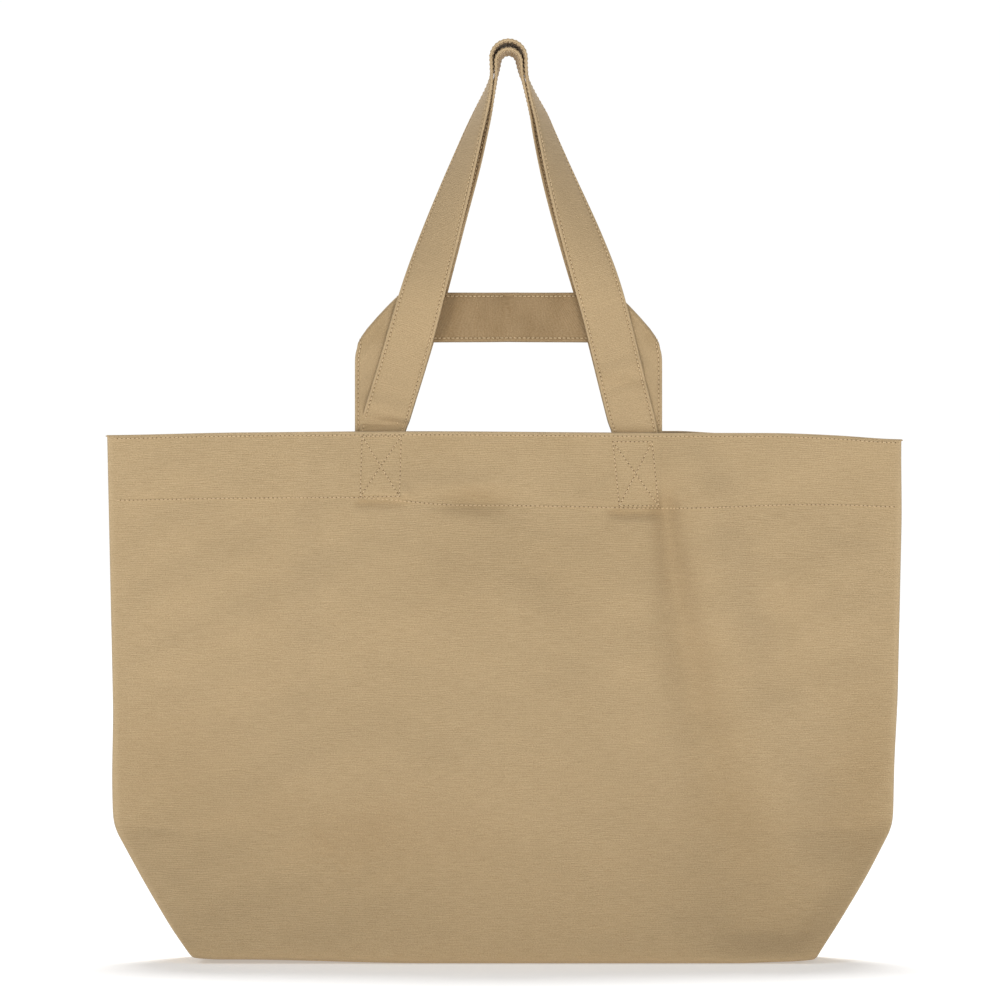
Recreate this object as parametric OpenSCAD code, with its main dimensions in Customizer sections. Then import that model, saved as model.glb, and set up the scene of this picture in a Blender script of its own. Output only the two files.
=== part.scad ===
// Large canvas carrying bag: two sewn panels with boxed lower corners, a deep turned hem,
// two long handles that nest in one loop at the top, and two short handles between them.
// The bag stands on its base at z = 0. X is its width, and its front faces -Y.

/* [Bag] */
// Width across the rim
rim_w = 518; // [460:1:640]
// Width at the points of the boxed corners
low_w = 507; // [450:1:640]
// Height of the rim above the base
rim_h = 344; // [280:1:430]
// Width of the flat base
base_w = 405; // [340:1:500]
// Depth of the flat base
base_d = 104; // [80:1:140]
// Height of the boxed corners' points above the base
corner_h = 88; // [70:1:110]
// Gap between the two rims at the middle
mouth = 48; // [42:1:56]
// How far each wall swells beyond straight
belly = 3; // [0:0.5:8]

/* [Canvas] */
// Thickness of the canvas
canvas_t = 1; // [0.8:0.1:1.4]
// Depth of the turned hem
hem_h = 46; // [35:1:60]
// Width of the seam allowances inside
seam_w = 10; // [6:0.5:14]

/* [Handles] */
// Width of the straps
strap_w = 30; // [24:1:38]
// Thickness of the folded straps
strap_t = 2.4; // [1.8:0.1:3]
// Half the distance between a handle's two ends
anchor_x = 82.5; // [65:0.5:105]
// Length of strap sewn inside the hem
tail_len = 41; // [30:1:45]
// Height of the long handles' loop above the rim
long_h = 256; // [200:1:330]
// Half the width of the outer loop at its top
loop_r = 11.4; // [10:0.1:16]
// Lean of a long handle's legs where they leave the rim, in degrees
leg_lean = 16; // [8:0.5:20]
// Height of the short handles above the rim
short_h = 91; // [70:1:110]
// Clearance between straps that move past each other
strap_gap = 0.3; // [0.3:0.05:0.6]
// Space between the two nested loops at their sides
nest_side = 1.2; // [1.2:0.1:2]
// Space between the two nested loops at the top
nest_top = 3.2; // [3.2:0.1:5]

/* [Stitching] */
// Width of a sewn row
thread_w = 0.8; // [0.5:0.1:1]
// Distance from a strap's edge to its topstitching
edge_inset = 2; // [1.5:0.1:4]
// Distance from the rim to its topstitching
rim_inset = 2.4; // [2:0.1:4]
// Width of the crossed stitch boxes
box_w = 25.5; // [18:0.5:28]

/* [Hidden] */

FRONT = -1;
BACK = 1;
LEFT = -1;
RIGHT = 1;
canvas_colour = "#B9A07B";
strap_colour = "#B49B77";
thread_colour = "#A08660";

layer_gap = 0.15;                                   // air between two sewn layers
seam_half = 0.1;                                    // half the line where front and back meet
edge_half = canvas_t + 0.3;                         // a panel's outside at a side seam, from the middle
corner_lean = (low_w - base_w) / 2 / corner_h;      // slope of the boxed corners' triangles
side_wall = canvas_t * sqrt(1 + corner_lean * corner_lean);
seam_layers = 0.7 * canvas_t;                       // half the thickness of a pressed seam allowance
hem_back = canvas_t + layer_gap;                    // from a panel's outside to its hem layer
tail_back = hem_back + canvas_t + layer_gap;        // from a panel's outside to the long tails
short_back = tail_back + strap_t + strap_gap;       // from a panel's outside to the short tails
lift = 0.4;                                         // the handles start this far above the rim
knee_h = long_h - 20.7;                             // where a long leg turns upright under its loop
leg_pull = 104.6;                                   // pull of the leg's curve at the rim
knee_pull = 31.1;                                   // pull of the leg's curve at the knee
flare_h = 16;                                       // a leg's section turns square to it over this height
leg_steps = 26;
arc_steps = 8;

// ---- the walls ----

// Half the bag's width at height z, seen from the front
function edge_x(z) = z < corner_h
    ? base_w / 2 + corner_lean * z
    : low_w / 2 + (rim_w - low_w) / 2 * (z - corner_h) / (rim_h - corner_h);

// Half the bag's depth at height z, at the fold of a boxed corner or at the side seam
function edge_y(z) = max(edge_half, base_d / 2 * (1 - z / corner_h));

// Half the bag's depth at height z, in the middle
function middle_y(z) = base_d / 2 + (mouth / 2 - base_d / 2) * z / rim_h + belly * sin(180 * z / rim_h);

// Distance from the middle plane to the outside of a wall
function wall_y(x, z) = edge_y(z) + (middle_y(z) - edge_y(z)) * cos(90 * min(1, abs(x) / edge_x(z)));

// The two faces that close the edge of a cloth between points a and b and their inner twins
function edge_wall(a, b, twin) = [[a, b, b + twin], [a, b + twin, a + twin]];

// The four faces of one cell of cloth, from its corners in order and their inner twins
function cloth(a, b, c, d, twin) = [
    [a, c, b], [a, d, c], [a + twin, b + twin, c + twin], [a + twin, c + twin, d + twin]];

// A closed slab between two grids of points, each a list of rows
module slab(outer, inner) {
    rows = len(outer);
    cols = len(outer[0]);
    all = rows * cols;
    points = concat([for (row = outer) for (p = row) p], [for (row = inner) for (p = row) p]);
    skin = [for (i = [0 : rows - 2]) for (j = [0 : cols - 2])
        let (a = i * cols + j) each cloth(a, a + 1, a + cols + 1, a + cols, all)];
    ends = [for (j = [0 : cols - 2])
        let (b = (rows - 1) * cols + j)
            each concat(edge_wall(j, j + 1, all), edge_wall(b + 1, b, all))];
    sides = [for (i = [0 : rows - 2])
        let (a = i * cols, b = a + cols - 1)
            each concat(edge_wall(a + cols, a, all), edge_wall(b, b + cols, all))];
    polyhedron(points = points, faces = concat(skin, ends, sides), convexity = 6);
}

// A patch of cloth that lies inside a wall: depth is measured from the wall's outside
module patch(x_low, x_high, z_low, z_high, depth, thickness, cols = 6, rows = 3) {
    function spot(i, j, d) = let (
        x = x_low + (x_high - x_low) * j / cols,
        z = z_low + (z_high - z_low) * i / rows) [x, d - wall_y(x, z), z];
    slab(
        [for (i = [0 : rows]) [for (j = [0 : cols]) spot(i, j, depth)]],
        [for (i = [0 : rows]) [for (j = [0 : cols]) spot(i, j, depth + thickness)]]);
}

// Turns a piece made for the front into one for the chosen side
module on_side(side) {
    if (side == FRONT) children();
    else mirror([0, 1, 0]) children();
}

// One canvas panel: its wall, its half of both boxed corners and its half of the base.
// Points run from left to right in rows that go up the wall, and the last row is the base's middle.
module panel() {
    heights = concat([for (i = [0 : 5]) corner_h * i / 6], [for (i = [0 : 10]) corner_h + (rim_h - corner_h) * i / 10]);
    steps = 24;
    cols = steps + 3;
    rows = len(heights);
    twin = rows * cols + steps + 1;
    slit = 0.5;
    function share(j) = j / steps * 2;
    function outside(z) = concat(
        [[-edge_x(z), -seam_half, z]],
        [for (j = [-steps / 2 : steps / 2]) let (x = edge_x(z) * share(j)) [x, -wall_y(x, z), z]],
        [[edge_x(z), -seam_half, z]]);
    function inside(z) = let (w = edge_x(z) - side_wall) concat(
        [[-w, -seam_half, z]],
        [for (j = [-steps / 2 : steps / 2]) let (x = edge_x(z) * share(j))
            [max(-w, min(w, x)), canvas_t - wall_y(x, z), z]],
        [[w, -seam_half, z]]);
    function middle_line(half, z) = [for (j = [-steps / 2 : steps / 2]) [half * share(j), -seam_half, z]];
    points = concat(
        [for (z = heights) each outside(z)], middle_line(base_w / 2 - slit, 0),
        [for (z = heights) each inside(max(z, canvas_t))],
        middle_line(edge_x(canvas_t) - side_wall - slit, canvas_t));
    base = rows * cols;
    top = (rows - 1) * cols;
    wall = [for (i = [0 : rows - 2]) for (j = [0 : cols - 2])
        let (a = i * cols + j) each cloth(a, a + 1, a + cols + 1, a + cols, twin)];
    floor = [for (j = [0 : steps - 1]) each cloth(base + j, base + j + 1, j + 2, j + 1, twin)];
    rim = [for (j = [0 : cols - 2]) each edge_wall(top + j + 1, top + j, twin)];
    seams = [for (i = [0 : rows - 2]) let (a = i * cols, b = a + cols - 1)
        each concat(edge_wall(a + cols, a, twin), edge_wall(b, b + cols, twin))];
    middle = [for (j = [0 : steps - 1]) each edge_wall(base + j, base + j + 1, twin)];
    corners = concat(
        edge_wall(0, 1, twin), edge_wall(1, base, twin),
        edge_wall(base + steps, cols - 2, twin), edge_wall(cols - 2, cols - 1, twin));
    polyhedron(points = points, faces = concat(wall, floor, rim, seams, middle, corners), convexity = 8);
}

// How far from the middle a hem may run at height z before it would meet the side seam's layers
function hem_limit(z) = edge_x(z) / 90
    * acos((hem_back + canvas_t + seam_layers + 0.5 - edge_half) / (middle_y(z) - edge_half));

module hem() {
    reach = min(rim_w / 2 - seam_w - 5, hem_limit(rim_h), hem_limit(rim_h - hem_h));
    patch(-reach, reach, rim_h - hem_h, rim_h, hem_back, canvas_t, 22, 3);
}

// ---- the seams inside ----

// The two layers of a side seam, turned into the bag along its whole height
module side_seam(side) {
    heights = concat([for (i = [0 : 3]) 1.8 * canvas_t + (corner_h - 1.8 * canvas_t) * i / 3],
        [for (i = [1 : 6]) corner_h + (rim_h - corner_h) * i / 6]);
    half = seam_layers;
    edge_slope = (wall_y(rim_w / 2 * 11 / 12, rim_h) - edge_half) / (rim_w / 24 - side_wall);
    back_off = (half + 0.1 - (edge_half - canvas_t)) / edge_slope;
    function outer_x(z) = edge_x(z) - side_wall - (z < corner_h - 0.01 ? 0.3 : back_off);
    function row(z, y) = [[outer_x(z) - seam_w, y, z], [outer_x(z), y, z]];
    mirror([side == LEFT ? 1 : 0, 0, 0])
        slab([for (z = heights) row(z, -half)], [for (z = heights) row(z, half)]);
}

// The seam along the middle of the base, laid towards the back
module base_seam() {
    length = base_w - 2 * (seam_w + 4);
    translate([-length / 2, 0, canvas_t + layer_gap]) cube([length, seam_w, 1.4 * canvas_t]);
}

// The seam across a boxed corner, laid flat on the base
module corner_seam(side) {
    reach = base_d / 2 - 3;
    x = base_w / 2 - side_wall - 1.5 - seam_w;
    for (half = [FRONT, BACK])
        translate([side > 0 ? x : -x - seam_w, half > 0 ? 2 : -reach, canvas_t + layer_gap])
            cube([seam_w, reach - 2, 1.4 * canvas_t]);
}

// ---- the straps ----

function smooth(u) = let (v = min(1, max(0, u))) v * v * (3 - 2 * v);

// A point on a leg's curve in the front view, from the rim at t = 0 to its knee at t = 1
function leg_point(t, top_x) = let (
    p0 = [anchor_x, rim_h + lift],
    p1 = p0 + leg_pull * [-sin(leg_lean), cos(leg_lean)],
    p3 = [top_x, rim_h + knee_h],
    p2 = p3 - [0, knee_pull])
    pow(1 - t, 3) * p0 + 3 * t * pow(1 - t, 2) * p1 + 3 * t * t * (1 - t) * p2 + pow(t, 3) * p3;

function unit(v) = v / norm(v);

// The strap's line from the right end over the top to the left end: [x, z, direction]
function strap_line(top_x, top_h) = let (
    centre = [0, rim_h + top_h - top_x],
    leg = [for (i = [0 : leg_steps]) leg_point(i / leg_steps, top_x)],
    arc = [for (i = [0 : arc_steps]) centre + top_x * [cos(90 * i / arc_steps), sin(90 * i / arc_steps)]],
    right = concat(leg, arc),
    count = len(right),
    left = [for (i = [2 : count]) let (p = right[count - i]) [-p.x, p.y]])
    concat(right, left);

// Twist of the strap at height h above the rim: 0 faces the front, 90 stands on edge
function twist(h, start, finish) = let (u = min(1, max(0, (h - start) / (finish - start)))) 90 * u * (1.35 - 0.35 * u);

// The strap's stations: [centre, width direction, thickness direction]
function stations(top_x, top_h, y_low, twist_start) = let (
    line = strap_line(top_x, top_h),
    last = len(line) - 1,
    finish = top_h - top_x)
    [for (i = [0 : last]) let (
        p = line[i],
        d = i == 0 ? [0, 1] : i == last ? [0, -1] : unit(line[i + 1] - line[i - 1]),
        h = p.y - rim_h,
        square_off = smooth((h - lift) / flare_h),
        across = unit([d.y, -d.x] * square_off + [p.x > 0 ? 1 : -1, 0] * (1 - square_off)),
        turn = twist(h, twist_start, finish),
        wide = [across.x * cos(turn), sin(turn), across.y * cos(turn)],
        ahead = unit([d.x, 0, d.y]),
        y = y_low * (1 - smooth((h - twist_start) / (finish - twist_start))))
        [[p.x, y, p.y], wide, unit(cross(ahead, wide))]];

// A bar that follows the stations: its middle lies shift across, and it is width by thickness
module ribbon(stops, shift, width, thickness) {
    count = len(stops);
    points = [for (s = stops) each [
        s[0] + s[1] * (shift - width / 2) - s[2] * thickness / 2,
        s[0] + s[1] * (shift + width / 2) - s[2] * thickness / 2,
        s[0] + s[1] * (shift + width / 2) + s[2] * thickness / 2,
        s[0] + s[1] * (shift - width / 2) + s[2] * thickness / 2]];
    walls = [for (i = [0 : count - 2]) for (j = [0 : 3])
        each let (a = 4 * i + j, b = 4 * i + (j + 1) % 4) [[a, b + 4, b], [a, a + 4, b + 4]]];
    last = 4 * (count - 1);
    caps = [[0, 1, 2, 3], [last + 3, last + 2, last + 1, last]];
    polyhedron(points = points, faces = concat(walls, caps), convexity = 8);
}

anchor_y = wall_y(anchor_x, rim_h);                 // a panel's outside where a handle is sewn on
long_y = anchor_y - tail_back - strap_t / 2;        // middle of the long straps, from the middle plane
short_y = anchor_y - short_back - strap_t / 2;      // middle of the short straps
outer_x = loop_r - strap_t / 2;                     // middle line of the outer loop
inner_x = outer_x - strap_t - nest_side;            // middle line of the inner loop
inner_drop = strap_t + nest_top;
front_stops = stations(outer_x, long_h - strap_t / 2, -long_y, short_h + 1.5);
back_stops = stations(inner_x, long_h - strap_t / 2 - inner_drop, long_y, short_h + 0.22 * strap_w);

// A short handle's fold is the diagonal from its outer corner to the bar's top edge
short_out = anchor_x + strap_w / 2 + 1;
short_in = short_out - strap_w;
fold_drop = strap_w + 4;
bar_low = short_h - strap_w - 1;

// A short handle: two legs, and a bar in a layer behind them, folded over at the corners
module short_handle() {
    leg = [[short_in, lift], [short_out, lift], [short_out, short_h - fold_drop], [short_in, short_h]];
    bar = [[-short_in, short_h], [short_in, short_h], [short_out, short_h - fold_drop],
        [short_in - 6, bar_low], [6 - short_in, bar_low], [-short_out, short_h - fold_drop]];
    translate([0, -short_y + strap_t / 2, rim_h]) rotate([90, 0, 0]) {
        for (side = [LEFT, RIGHT])
            mirror([side == LEFT ? 1 : 0, 0, 0]) linear_extrude(strap_t) polygon(leg);
        translate([0, 0, -strap_t]) linear_extrude(strap_t) polygon(bar);
    }
}

// The rows along a short handle's legs and bar
module short_handle_rows() {
    through = strap_t + 0.4;
    leg_top = short_h - fold_drop - edge_inset;
    for (side = [LEFT, RIGHT]) for (x = [short_in + edge_inset, short_out - edge_inset])
        translate([side * x - thread_w / 2, -short_y - through / 2, rim_h + lift + 1])
            cube([thread_w, through, leg_top - lift - 1]);
    for (z = [short_h - edge_inset, bar_low + edge_inset])
        translate([6 - short_in, -short_y + strap_t - through / 2, rim_h + z - thread_w / 2])
            cube([2 * short_in - 12, through, thread_w]);
}

module long_handle_rows(stops) {
    trimmed = [for (i = [1 : len(stops) - 2]) stops[i]];
    for (side = [-1, 1]) ribbon(trimmed, side * (strap_w / 2 - edge_inset), thread_w, strap_t + 0.4);
}

// The sewn-in end of a strap
module tail(side, depth) {
    x = side * anchor_x;
    patch(x - strap_w / 2, x + strap_w / 2, rim_h - tail_len, rim_h, depth, strap_t, 4, 2);
}

// ---- the stitching on the walls ----

// A sewn row along a wall, half sunk into the cloth
module row_on_wall(reach, z) {
    patch(-reach, reach, z - thread_w / 2, z + thread_w / 2, -0.25, 0.5, 22, 1);
}

// A crossed box of stitches over a strap's sewn-in end
module box_stitch(side) {
    x = side * anchor_x;
    top = rim_h - rim_inset - 1.6;
    low = rim_h - tail_len + 1.6;
    left = x - box_w / 2;
    right = x + box_w / 2;
    corners = [[left, low], [right, low], [right, top], [left, top]];
    for (pair = [[0, 1], [1, 2], [2, 3], [3, 0], [0, 2], [1, 3]])
        thread_run(corners[pair[0]], corners[pair[1]]);
}

// A straight run of thread between two points of a wall, given as [x, z]
module thread_run(from, to) {
    along = unit(to - from) * thread_w / 2;
    across = [-along.y, along.x];
    steps = 4;
    function spot(i, j, d) = let (
        p = (from - along) + (to - from + 2 * along) * i / steps + across * (j * 2 - 1)) [p.x, d - wall_y(p.x, p.y), p.y];
    slab(
        [for (j = [0, 1]) [for (i = [0 : steps]) spot(i, j, -0.25)]],
        [for (j = [0, 1]) [for (i = [0 : steps]) spot(i, j, 0.25)]]);
}

// ---- the nodes ----

module front_panel() { color(canvas_colour) on_side(FRONT) panel(); }
module back_panel() { color(canvas_colour) on_side(BACK) panel(); }
module front_hem() { color(canvas_colour) on_side(FRONT) hem(); }
module back_hem() { color(canvas_colour) on_side(BACK) hem(); }
module left_side_seam() { color(canvas_colour) side_seam(LEFT); }
module right_side_seam() { color(canvas_colour) side_seam(RIGHT); }
module bottom_seam() { color(canvas_colour) base_seam(); }
module left_corner_seam() { color(canvas_colour) corner_seam(LEFT); }
module right_corner_seam() { color(canvas_colour) corner_seam(RIGHT); }
module front_long_handle() { color(strap_colour) ribbon(front_stops, 0, strap_w, strap_t); }
module back_long_handle() { color(strap_colour) ribbon(back_stops, 0, strap_w, strap_t); }
module front_short_handle() { color(strap_colour) on_side(FRONT) short_handle(); }
module back_short_handle() { color(strap_colour) on_side(BACK) short_handle(); }
module front_left_long_tail() { color(strap_colour) on_side(FRONT) tail(LEFT, tail_back); }
module front_right_long_tail() { color(strap_colour) on_side(FRONT) tail(RIGHT, tail_back); }
module back_left_long_tail() { color(strap_colour) on_side(BACK) tail(LEFT, tail_back); }
module back_right_long_tail() { color(strap_colour) on_side(BACK) tail(RIGHT, tail_back); }
module front_left_short_tail() { color(strap_colour) on_side(FRONT) tail(LEFT, short_back); }
module front_right_short_tail() { color(strap_colour) on_side(FRONT) tail(RIGHT, short_back); }
module back_left_short_tail() { color(strap_colour) on_side(BACK) tail(LEFT, short_back); }
module back_right_short_tail() { color(strap_colour) on_side(BACK) tail(RIGHT, short_back); }
module front_left_box_stitch() { color(thread_colour) on_side(FRONT) box_stitch(LEFT); }
module front_right_box_stitch() { color(thread_colour) on_side(FRONT) box_stitch(RIGHT); }
module back_left_box_stitch() { color(thread_colour) on_side(BACK) box_stitch(LEFT); }
module back_right_box_stitch() { color(thread_colour) on_side(BACK) box_stitch(RIGHT); }
module front_hem_stitch() { color(thread_colour) on_side(FRONT) row_on_wall(rim_w / 2 - 6, rim_h - hem_h + 2); }
module back_hem_stitch() { color(thread_colour) on_side(BACK) row_on_wall(rim_w / 2 - 6, rim_h - hem_h + 2); }
module front_rim_stitch() { color(thread_colour) on_side(FRONT) row_on_wall(rim_w / 2 - 4, rim_h - rim_inset); }
module back_rim_stitch() { color(thread_colour) on_side(BACK) row_on_wall(rim_w / 2 - 4, rim_h - rim_inset); }
module front_long_handle_stitch() { color(thread_colour) long_handle_rows(front_stops); }
module back_long_handle_stitch() { color(thread_colour) long_handle_rows(back_stops); }
module front_short_handle_stitch() { color(thread_colour) on_side(FRONT) short_handle_rows(); }
module back_short_handle_stitch() { color(thread_colour) on_side(BACK) short_handle_rows(); }

front_panel();
back_panel();
front_hem();
back_hem();
left_side_seam();
right_side_seam();
bottom_seam();
left_corner_seam();
right_corner_seam();
front_long_handle();
back_long_handle();
front_short_handle();
back_short_handle();
front_left_long_tail();
front_right_long_tail();
back_left_long_tail();
back_right_long_tail();
front_left_short_tail();
front_right_short_tail();
back_left_short_tail();
back_right_short_tail();
front_left_box_stitch();
front_right_box_stitch();
back_left_box_stitch();
back_right_box_stitch();
front_hem_stitch();
back_hem_stitch();
front_rim_stitch();
back_rim_stitch();
front_long_handle_stitch();
back_long_handle_stitch();
front_short_handle_stitch();
back_short_handle_stitch();
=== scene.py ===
import math
import bmesh
import bpy
import numpy as np
from bpy.props import FloatProperty, FloatVectorProperty, PointerProperty
from functools import partial
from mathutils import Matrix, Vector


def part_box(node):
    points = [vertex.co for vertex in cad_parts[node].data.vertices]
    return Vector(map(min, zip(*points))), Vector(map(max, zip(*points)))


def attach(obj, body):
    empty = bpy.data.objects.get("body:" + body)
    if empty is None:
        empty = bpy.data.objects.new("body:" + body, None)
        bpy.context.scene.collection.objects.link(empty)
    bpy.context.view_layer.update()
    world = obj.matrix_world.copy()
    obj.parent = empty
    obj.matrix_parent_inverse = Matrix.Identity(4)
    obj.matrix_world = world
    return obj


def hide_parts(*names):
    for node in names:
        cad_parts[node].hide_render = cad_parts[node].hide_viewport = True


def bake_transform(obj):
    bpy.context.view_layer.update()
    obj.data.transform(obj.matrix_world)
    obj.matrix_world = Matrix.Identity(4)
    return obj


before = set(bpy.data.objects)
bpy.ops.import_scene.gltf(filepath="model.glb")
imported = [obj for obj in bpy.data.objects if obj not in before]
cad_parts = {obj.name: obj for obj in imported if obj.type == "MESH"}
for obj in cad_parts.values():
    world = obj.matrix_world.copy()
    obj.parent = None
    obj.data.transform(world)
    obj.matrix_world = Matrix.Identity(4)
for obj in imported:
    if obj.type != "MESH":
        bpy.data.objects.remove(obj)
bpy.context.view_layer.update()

bl_info = {
    "name": "Canvas Tote Bag",
    "version": (1, 0, 0),
    "blender": (4, 5, 0),
    "location": "View3D > Sidebar > Tote",
    "description": "Builds the cloth, handles, seams and stitching of a canvas tote bag",
    "category": "Add Mesh",
}

MM = 0.001
FULL_TURN = 6.2832
CLOSED = 0.1 * MM  # half the gap that is left where the two walls meet
RIM_ROLL = 1.1 * MM  # how round the folded rim is
EDGE_ROW = 2.2 * MM  # from a strap's edge to its row of stitches
ROW_SINK = 0.26 * MM  # how deep a row of stitches lies in a strap
WALL_ROW = -0.14 * MM  # depth of a row of stitches on a panel's face
LONG_BACK = 2.3 * MM  # depth of the long straps behind a panel's outer face
SHORT_BACK = 5.0 * MM  # depth of the short straps behind a panel's outer face
PANEL_LOW, PANEL_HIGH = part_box("front_panel")
STRAP_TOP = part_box("front_long_handle")[1].z
RIM_H = PANEL_HIGH.z
SIDES = {"front": -1, "back": 1}
ENDS = {"left": -1, "right": 1}


def length_value(name, text, value):
    settings = {"min": 0, "subtype": "DISTANCE", "unit": "LENGTH"}
    return FloatProperty(name=name, description=text, default=value, **settings)


def colour_value(name, text, value):
    settings = {"min": 0, "max": 1, "size": 3, "subtype": "COLOR"}
    return FloatVectorProperty(name=name, description=text, default=value, **settings)


class ToteSizes(bpy.types.PropertyGroup):
    rim_w: length_value("Rim width", "Width of the bag at its open top", 0.518)
    low_w: length_value("Corner width", "Width where the boxed corners begin", 0.507)
    base_w: length_value("Base width", "Length of the flat base", 0.405)
    base_d: length_value("Base depth", "Depth of the flat base", 0.104)
    corner_h: length_value("Corner height", "Height of the boxed corners", 0.088)
    mouth: length_value("Mouth", "How far the two rims stand apart", 0.048)
    belly: length_value("Belly", "How far the panels swell at half height", 0.003)
    canvas_t: length_value("Canvas thickness", "Thickness of the body cloth", 0.001)
    hem_h: length_value("Hem height", "Depth of the turned hem inside the rim", 0.046)
    seam_w: length_value("Seam allowance", "Width of the cloth left inside the seams", 0.010)
    strap_w: length_value("Strap width", "Width of the handle straps", 0.030)
    strap_t: length_value("Strap thickness", "Thickness of the folded straps", 0.0024)
    anchor_x: length_value("Strap place", "Distance of each strap from their middle", 0.0825)
    strap_shift: length_value("Strap shift", "How far right of the middle the straps are sewn", 0.0023)
    tail_len: length_value("Tail length", "How far the straps reach down inside the rim", 0.041)
    box_w: length_value("Box width", "Width of the crossed box of stitching", 0.0255)
    stitch: length_value("Stitch pitch", "Distance from one stitch to the next", 0.0029)
    thread_d: length_value("Thread thickness", "Thickness of the sewing thread", 0.00062)


class ToteColours(bpy.types.PropertyGroup):
    body: colour_value("Body canvas", "Colour of the body cloth", (0.460, 0.337, 0.190))
    strap: colour_value("Strap canvas", "Colour of the shoulder straps", (0.455, 0.331, 0.186))
    # The hand loop colour is a darker copy of the strap canvas: painted shade for the bar, which lies in
    # shadow.
    loop: colour_value("Shaded hand loop canvas", "Colour of the hand loops", (0.322, 0.221, 0.117))
    thread: colour_value("Thread", "Colour of the sewing thread", (0.72, 0.55, 0.335))


def sizes():
    return bpy.context.scene.tote_sizes


def colours():
    return bpy.context.scene.tote_colours


# Shape of the standing bag

def smooth(t):
    t = np.clip(t, 0, 1)
    return t * t * (3 - 2 * t)


def edge_x(z):
    s = sizes()
    lean = (s.low_w - s.base_w) / 2 / s.corner_h
    upper = s.low_w / 2 + (s.rim_w - s.low_w) / 2 * (z - s.corner_h) / (RIM_H - s.corner_h)
    return np.where(z < s.corner_h, s.base_w / 2 + lean * z, upper)


def edge_y(z):
    s = sizes()
    return np.maximum(CLOSED, s.base_d / 2 * (1 - z / s.corner_h))


def wall_y(x, z):
    """Distance of a panel's outer face from the middle plane."""
    s = sizes()
    middle = s.base_d / 2 + (s.mouth / 2 - s.base_d / 2) * z / RIM_H
    middle = middle + s.belly * np.sin(math.pi * np.clip(z / RIM_H, 0, 1))
    edge = edge_y(z)
    wide = edge_x(z)
    round_y, round_x = 1.3 * MM, 2.4 * MM
    inner = np.maximum(edge, round_y)
    reach = np.clip((np.abs(x) - wide + round_x) / round_x, 0, 1)
    roll = np.where(edge < round_y, (round_y - edge) * np.sqrt(np.maximum(0, 1 - reach * reach)), 0)
    return edge + roll + (middle - inner) * np.cos(math.pi / 2 * np.minimum(1, np.abs(x) / wide))


def hill(x, z, at_x, at_z, wide, tall):
    return np.exp(-(((x - at_x) / wide) ** 2 + ((z - at_z) / tall) ** 2) / 2)


def bell(t):
    return np.exp(-t ** 2)


def crease(x, z, line, start, finish):
    """A soft furrow along a line of places, growing from one half width to another."""
    best = np.full(np.shape(x), 1e9)
    width = np.full(np.shape(x), start, float)
    count = len(line) - 1
    for i, ((x0, z0), (x1, z1)) in enumerate(zip(line, line[1:])):
        run = (x1 - x0) ** 2 + (z1 - z0) ** 2
        t = np.clip(((x - x0) * (x1 - x0) + (z - z0) * (z1 - z0)) / run, 0, 1)
        gap = np.hypot(x - x0 - t * (x1 - x0), z - z0 - t * (z1 - z0))
        nearer = gap < best
        best = np.where(nearer, gap, best)
        width = np.where(nearer, start + (finish - start) * (i + t) / count, width)
    return np.exp(-(best / width) ** 2 / 2)


def ripple(x, z, seed, size):
    """Gentle unevenness of the cloth."""
    rng = np.random.default_rng(seed)
    total = np.zeros(np.shape(x))
    for _ in range(14):
        turn = rng.uniform(0, math.pi)
        wave = 2 * math.pi / (size * rng.uniform(0.6, 1.7))
        along = x * math.cos(turn) + z * math.sin(turn)
        total += rng.uniform(0.4, 1) * np.sin(wave * along + rng.uniform(0, 6.28))
    return total / 7


def folds(side, x, z):
    """How far the slack cloth stands out of the plain wall, in metres."""
    s = sizes()
    X, Z = x / MM * (1 if side < 0 else -1), z / MM
    out = 3.4 * crease(X, Z, [(-112, 345), (-116, 250), (-122, 150)], 13, 20) * smooth((Z - 100) / 100)
    out -= 2.2 * hill(X, Z, -138, 230, 11, 70)
    out -= 5.0 * crease(X, Z, [(104, 296), (112, 225), (124, 157), (140, 86), (156, 40), (186, 8)], 5, 24)
    out += 3.6 * crease(X, Z, [(126, 322), (140, 240), (164, 150), (190, 80)], 11, 20)
    out -= 6.5 * hill(X, Z, 232, 104, 30, 52)
    out += 4.4 * hill(X, Z, 205, 205, 30, 60)
    out += 6.0 * hill(X, Z, -92, 118, 70, 30) - 6.5 * hill(X, Z, -88, 52, 56, 24)
    out -= 1.8 * crease(X, Z, [(-120, 78), (-101, 56), (-84, 74)], 4, 6)
    out -= 4.6 * hill(X, Z, -216, 120, 34, 28)
    out += 4.2 * hill(X, Z, 18, 192, 66, 56) + 3.0 * hill(X, Z, -198, 236, 38, 40)
    out -= 1.4 * hill(X, Z, 25, 254, 9, 10) + 1.6 * hill(X, Z, 168, 231, 9, 11)
    out += 1.0 * hill(X, Z, -26, 309, 20, 5) - 2.8 * hill(X, Z, -20, 299, 15, 5)
    out -= 1.6 * hill(X, Z, -40, 330, 16, 10) + 1.4 * hill(X, Z, 44, 334, 12, 8)
    out = 1.5 * out
    for tall, seed, size in ((5.5, 11, 135), (1.9, 17, 58), (0.3, 23, 22)):
        out = out + tall * ripple(X, Z, seed + side, size)
    level = hem_level(x) / MM
    for end, drop in ((-1, 0), (1, -6.5)):
        across = np.abs(x / MM - end * s.anchor_x / MM - s.strap_shift / MM)
        out += 1.1 * smooth((17 - across) / 2.6) * smooth((Z - 300 - drop) / 2.6)
        out -= 2.2 * smooth((19 - across) / 7) * bell((Z - 298 - drop) / 3)
    out += 1.8 * hill(X, Z, -65, 304, 4, 4)
    out += 0.4 * smooth((Z - level + 3) / 3)
    out -= 0.4 * bell((Z - level) / 2.6) + 0.2 * bell((Z - 341.6) / 2.2)
    calm = smooth((edge_x(z) - np.abs(x)) / (26 * MM)) * smooth(z / (22 * MM))
    near_rim = 0.5 + 0.5 * smooth((RIM_H - z) / (42 * MM))
    return out * MM * calm * near_rim


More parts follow.
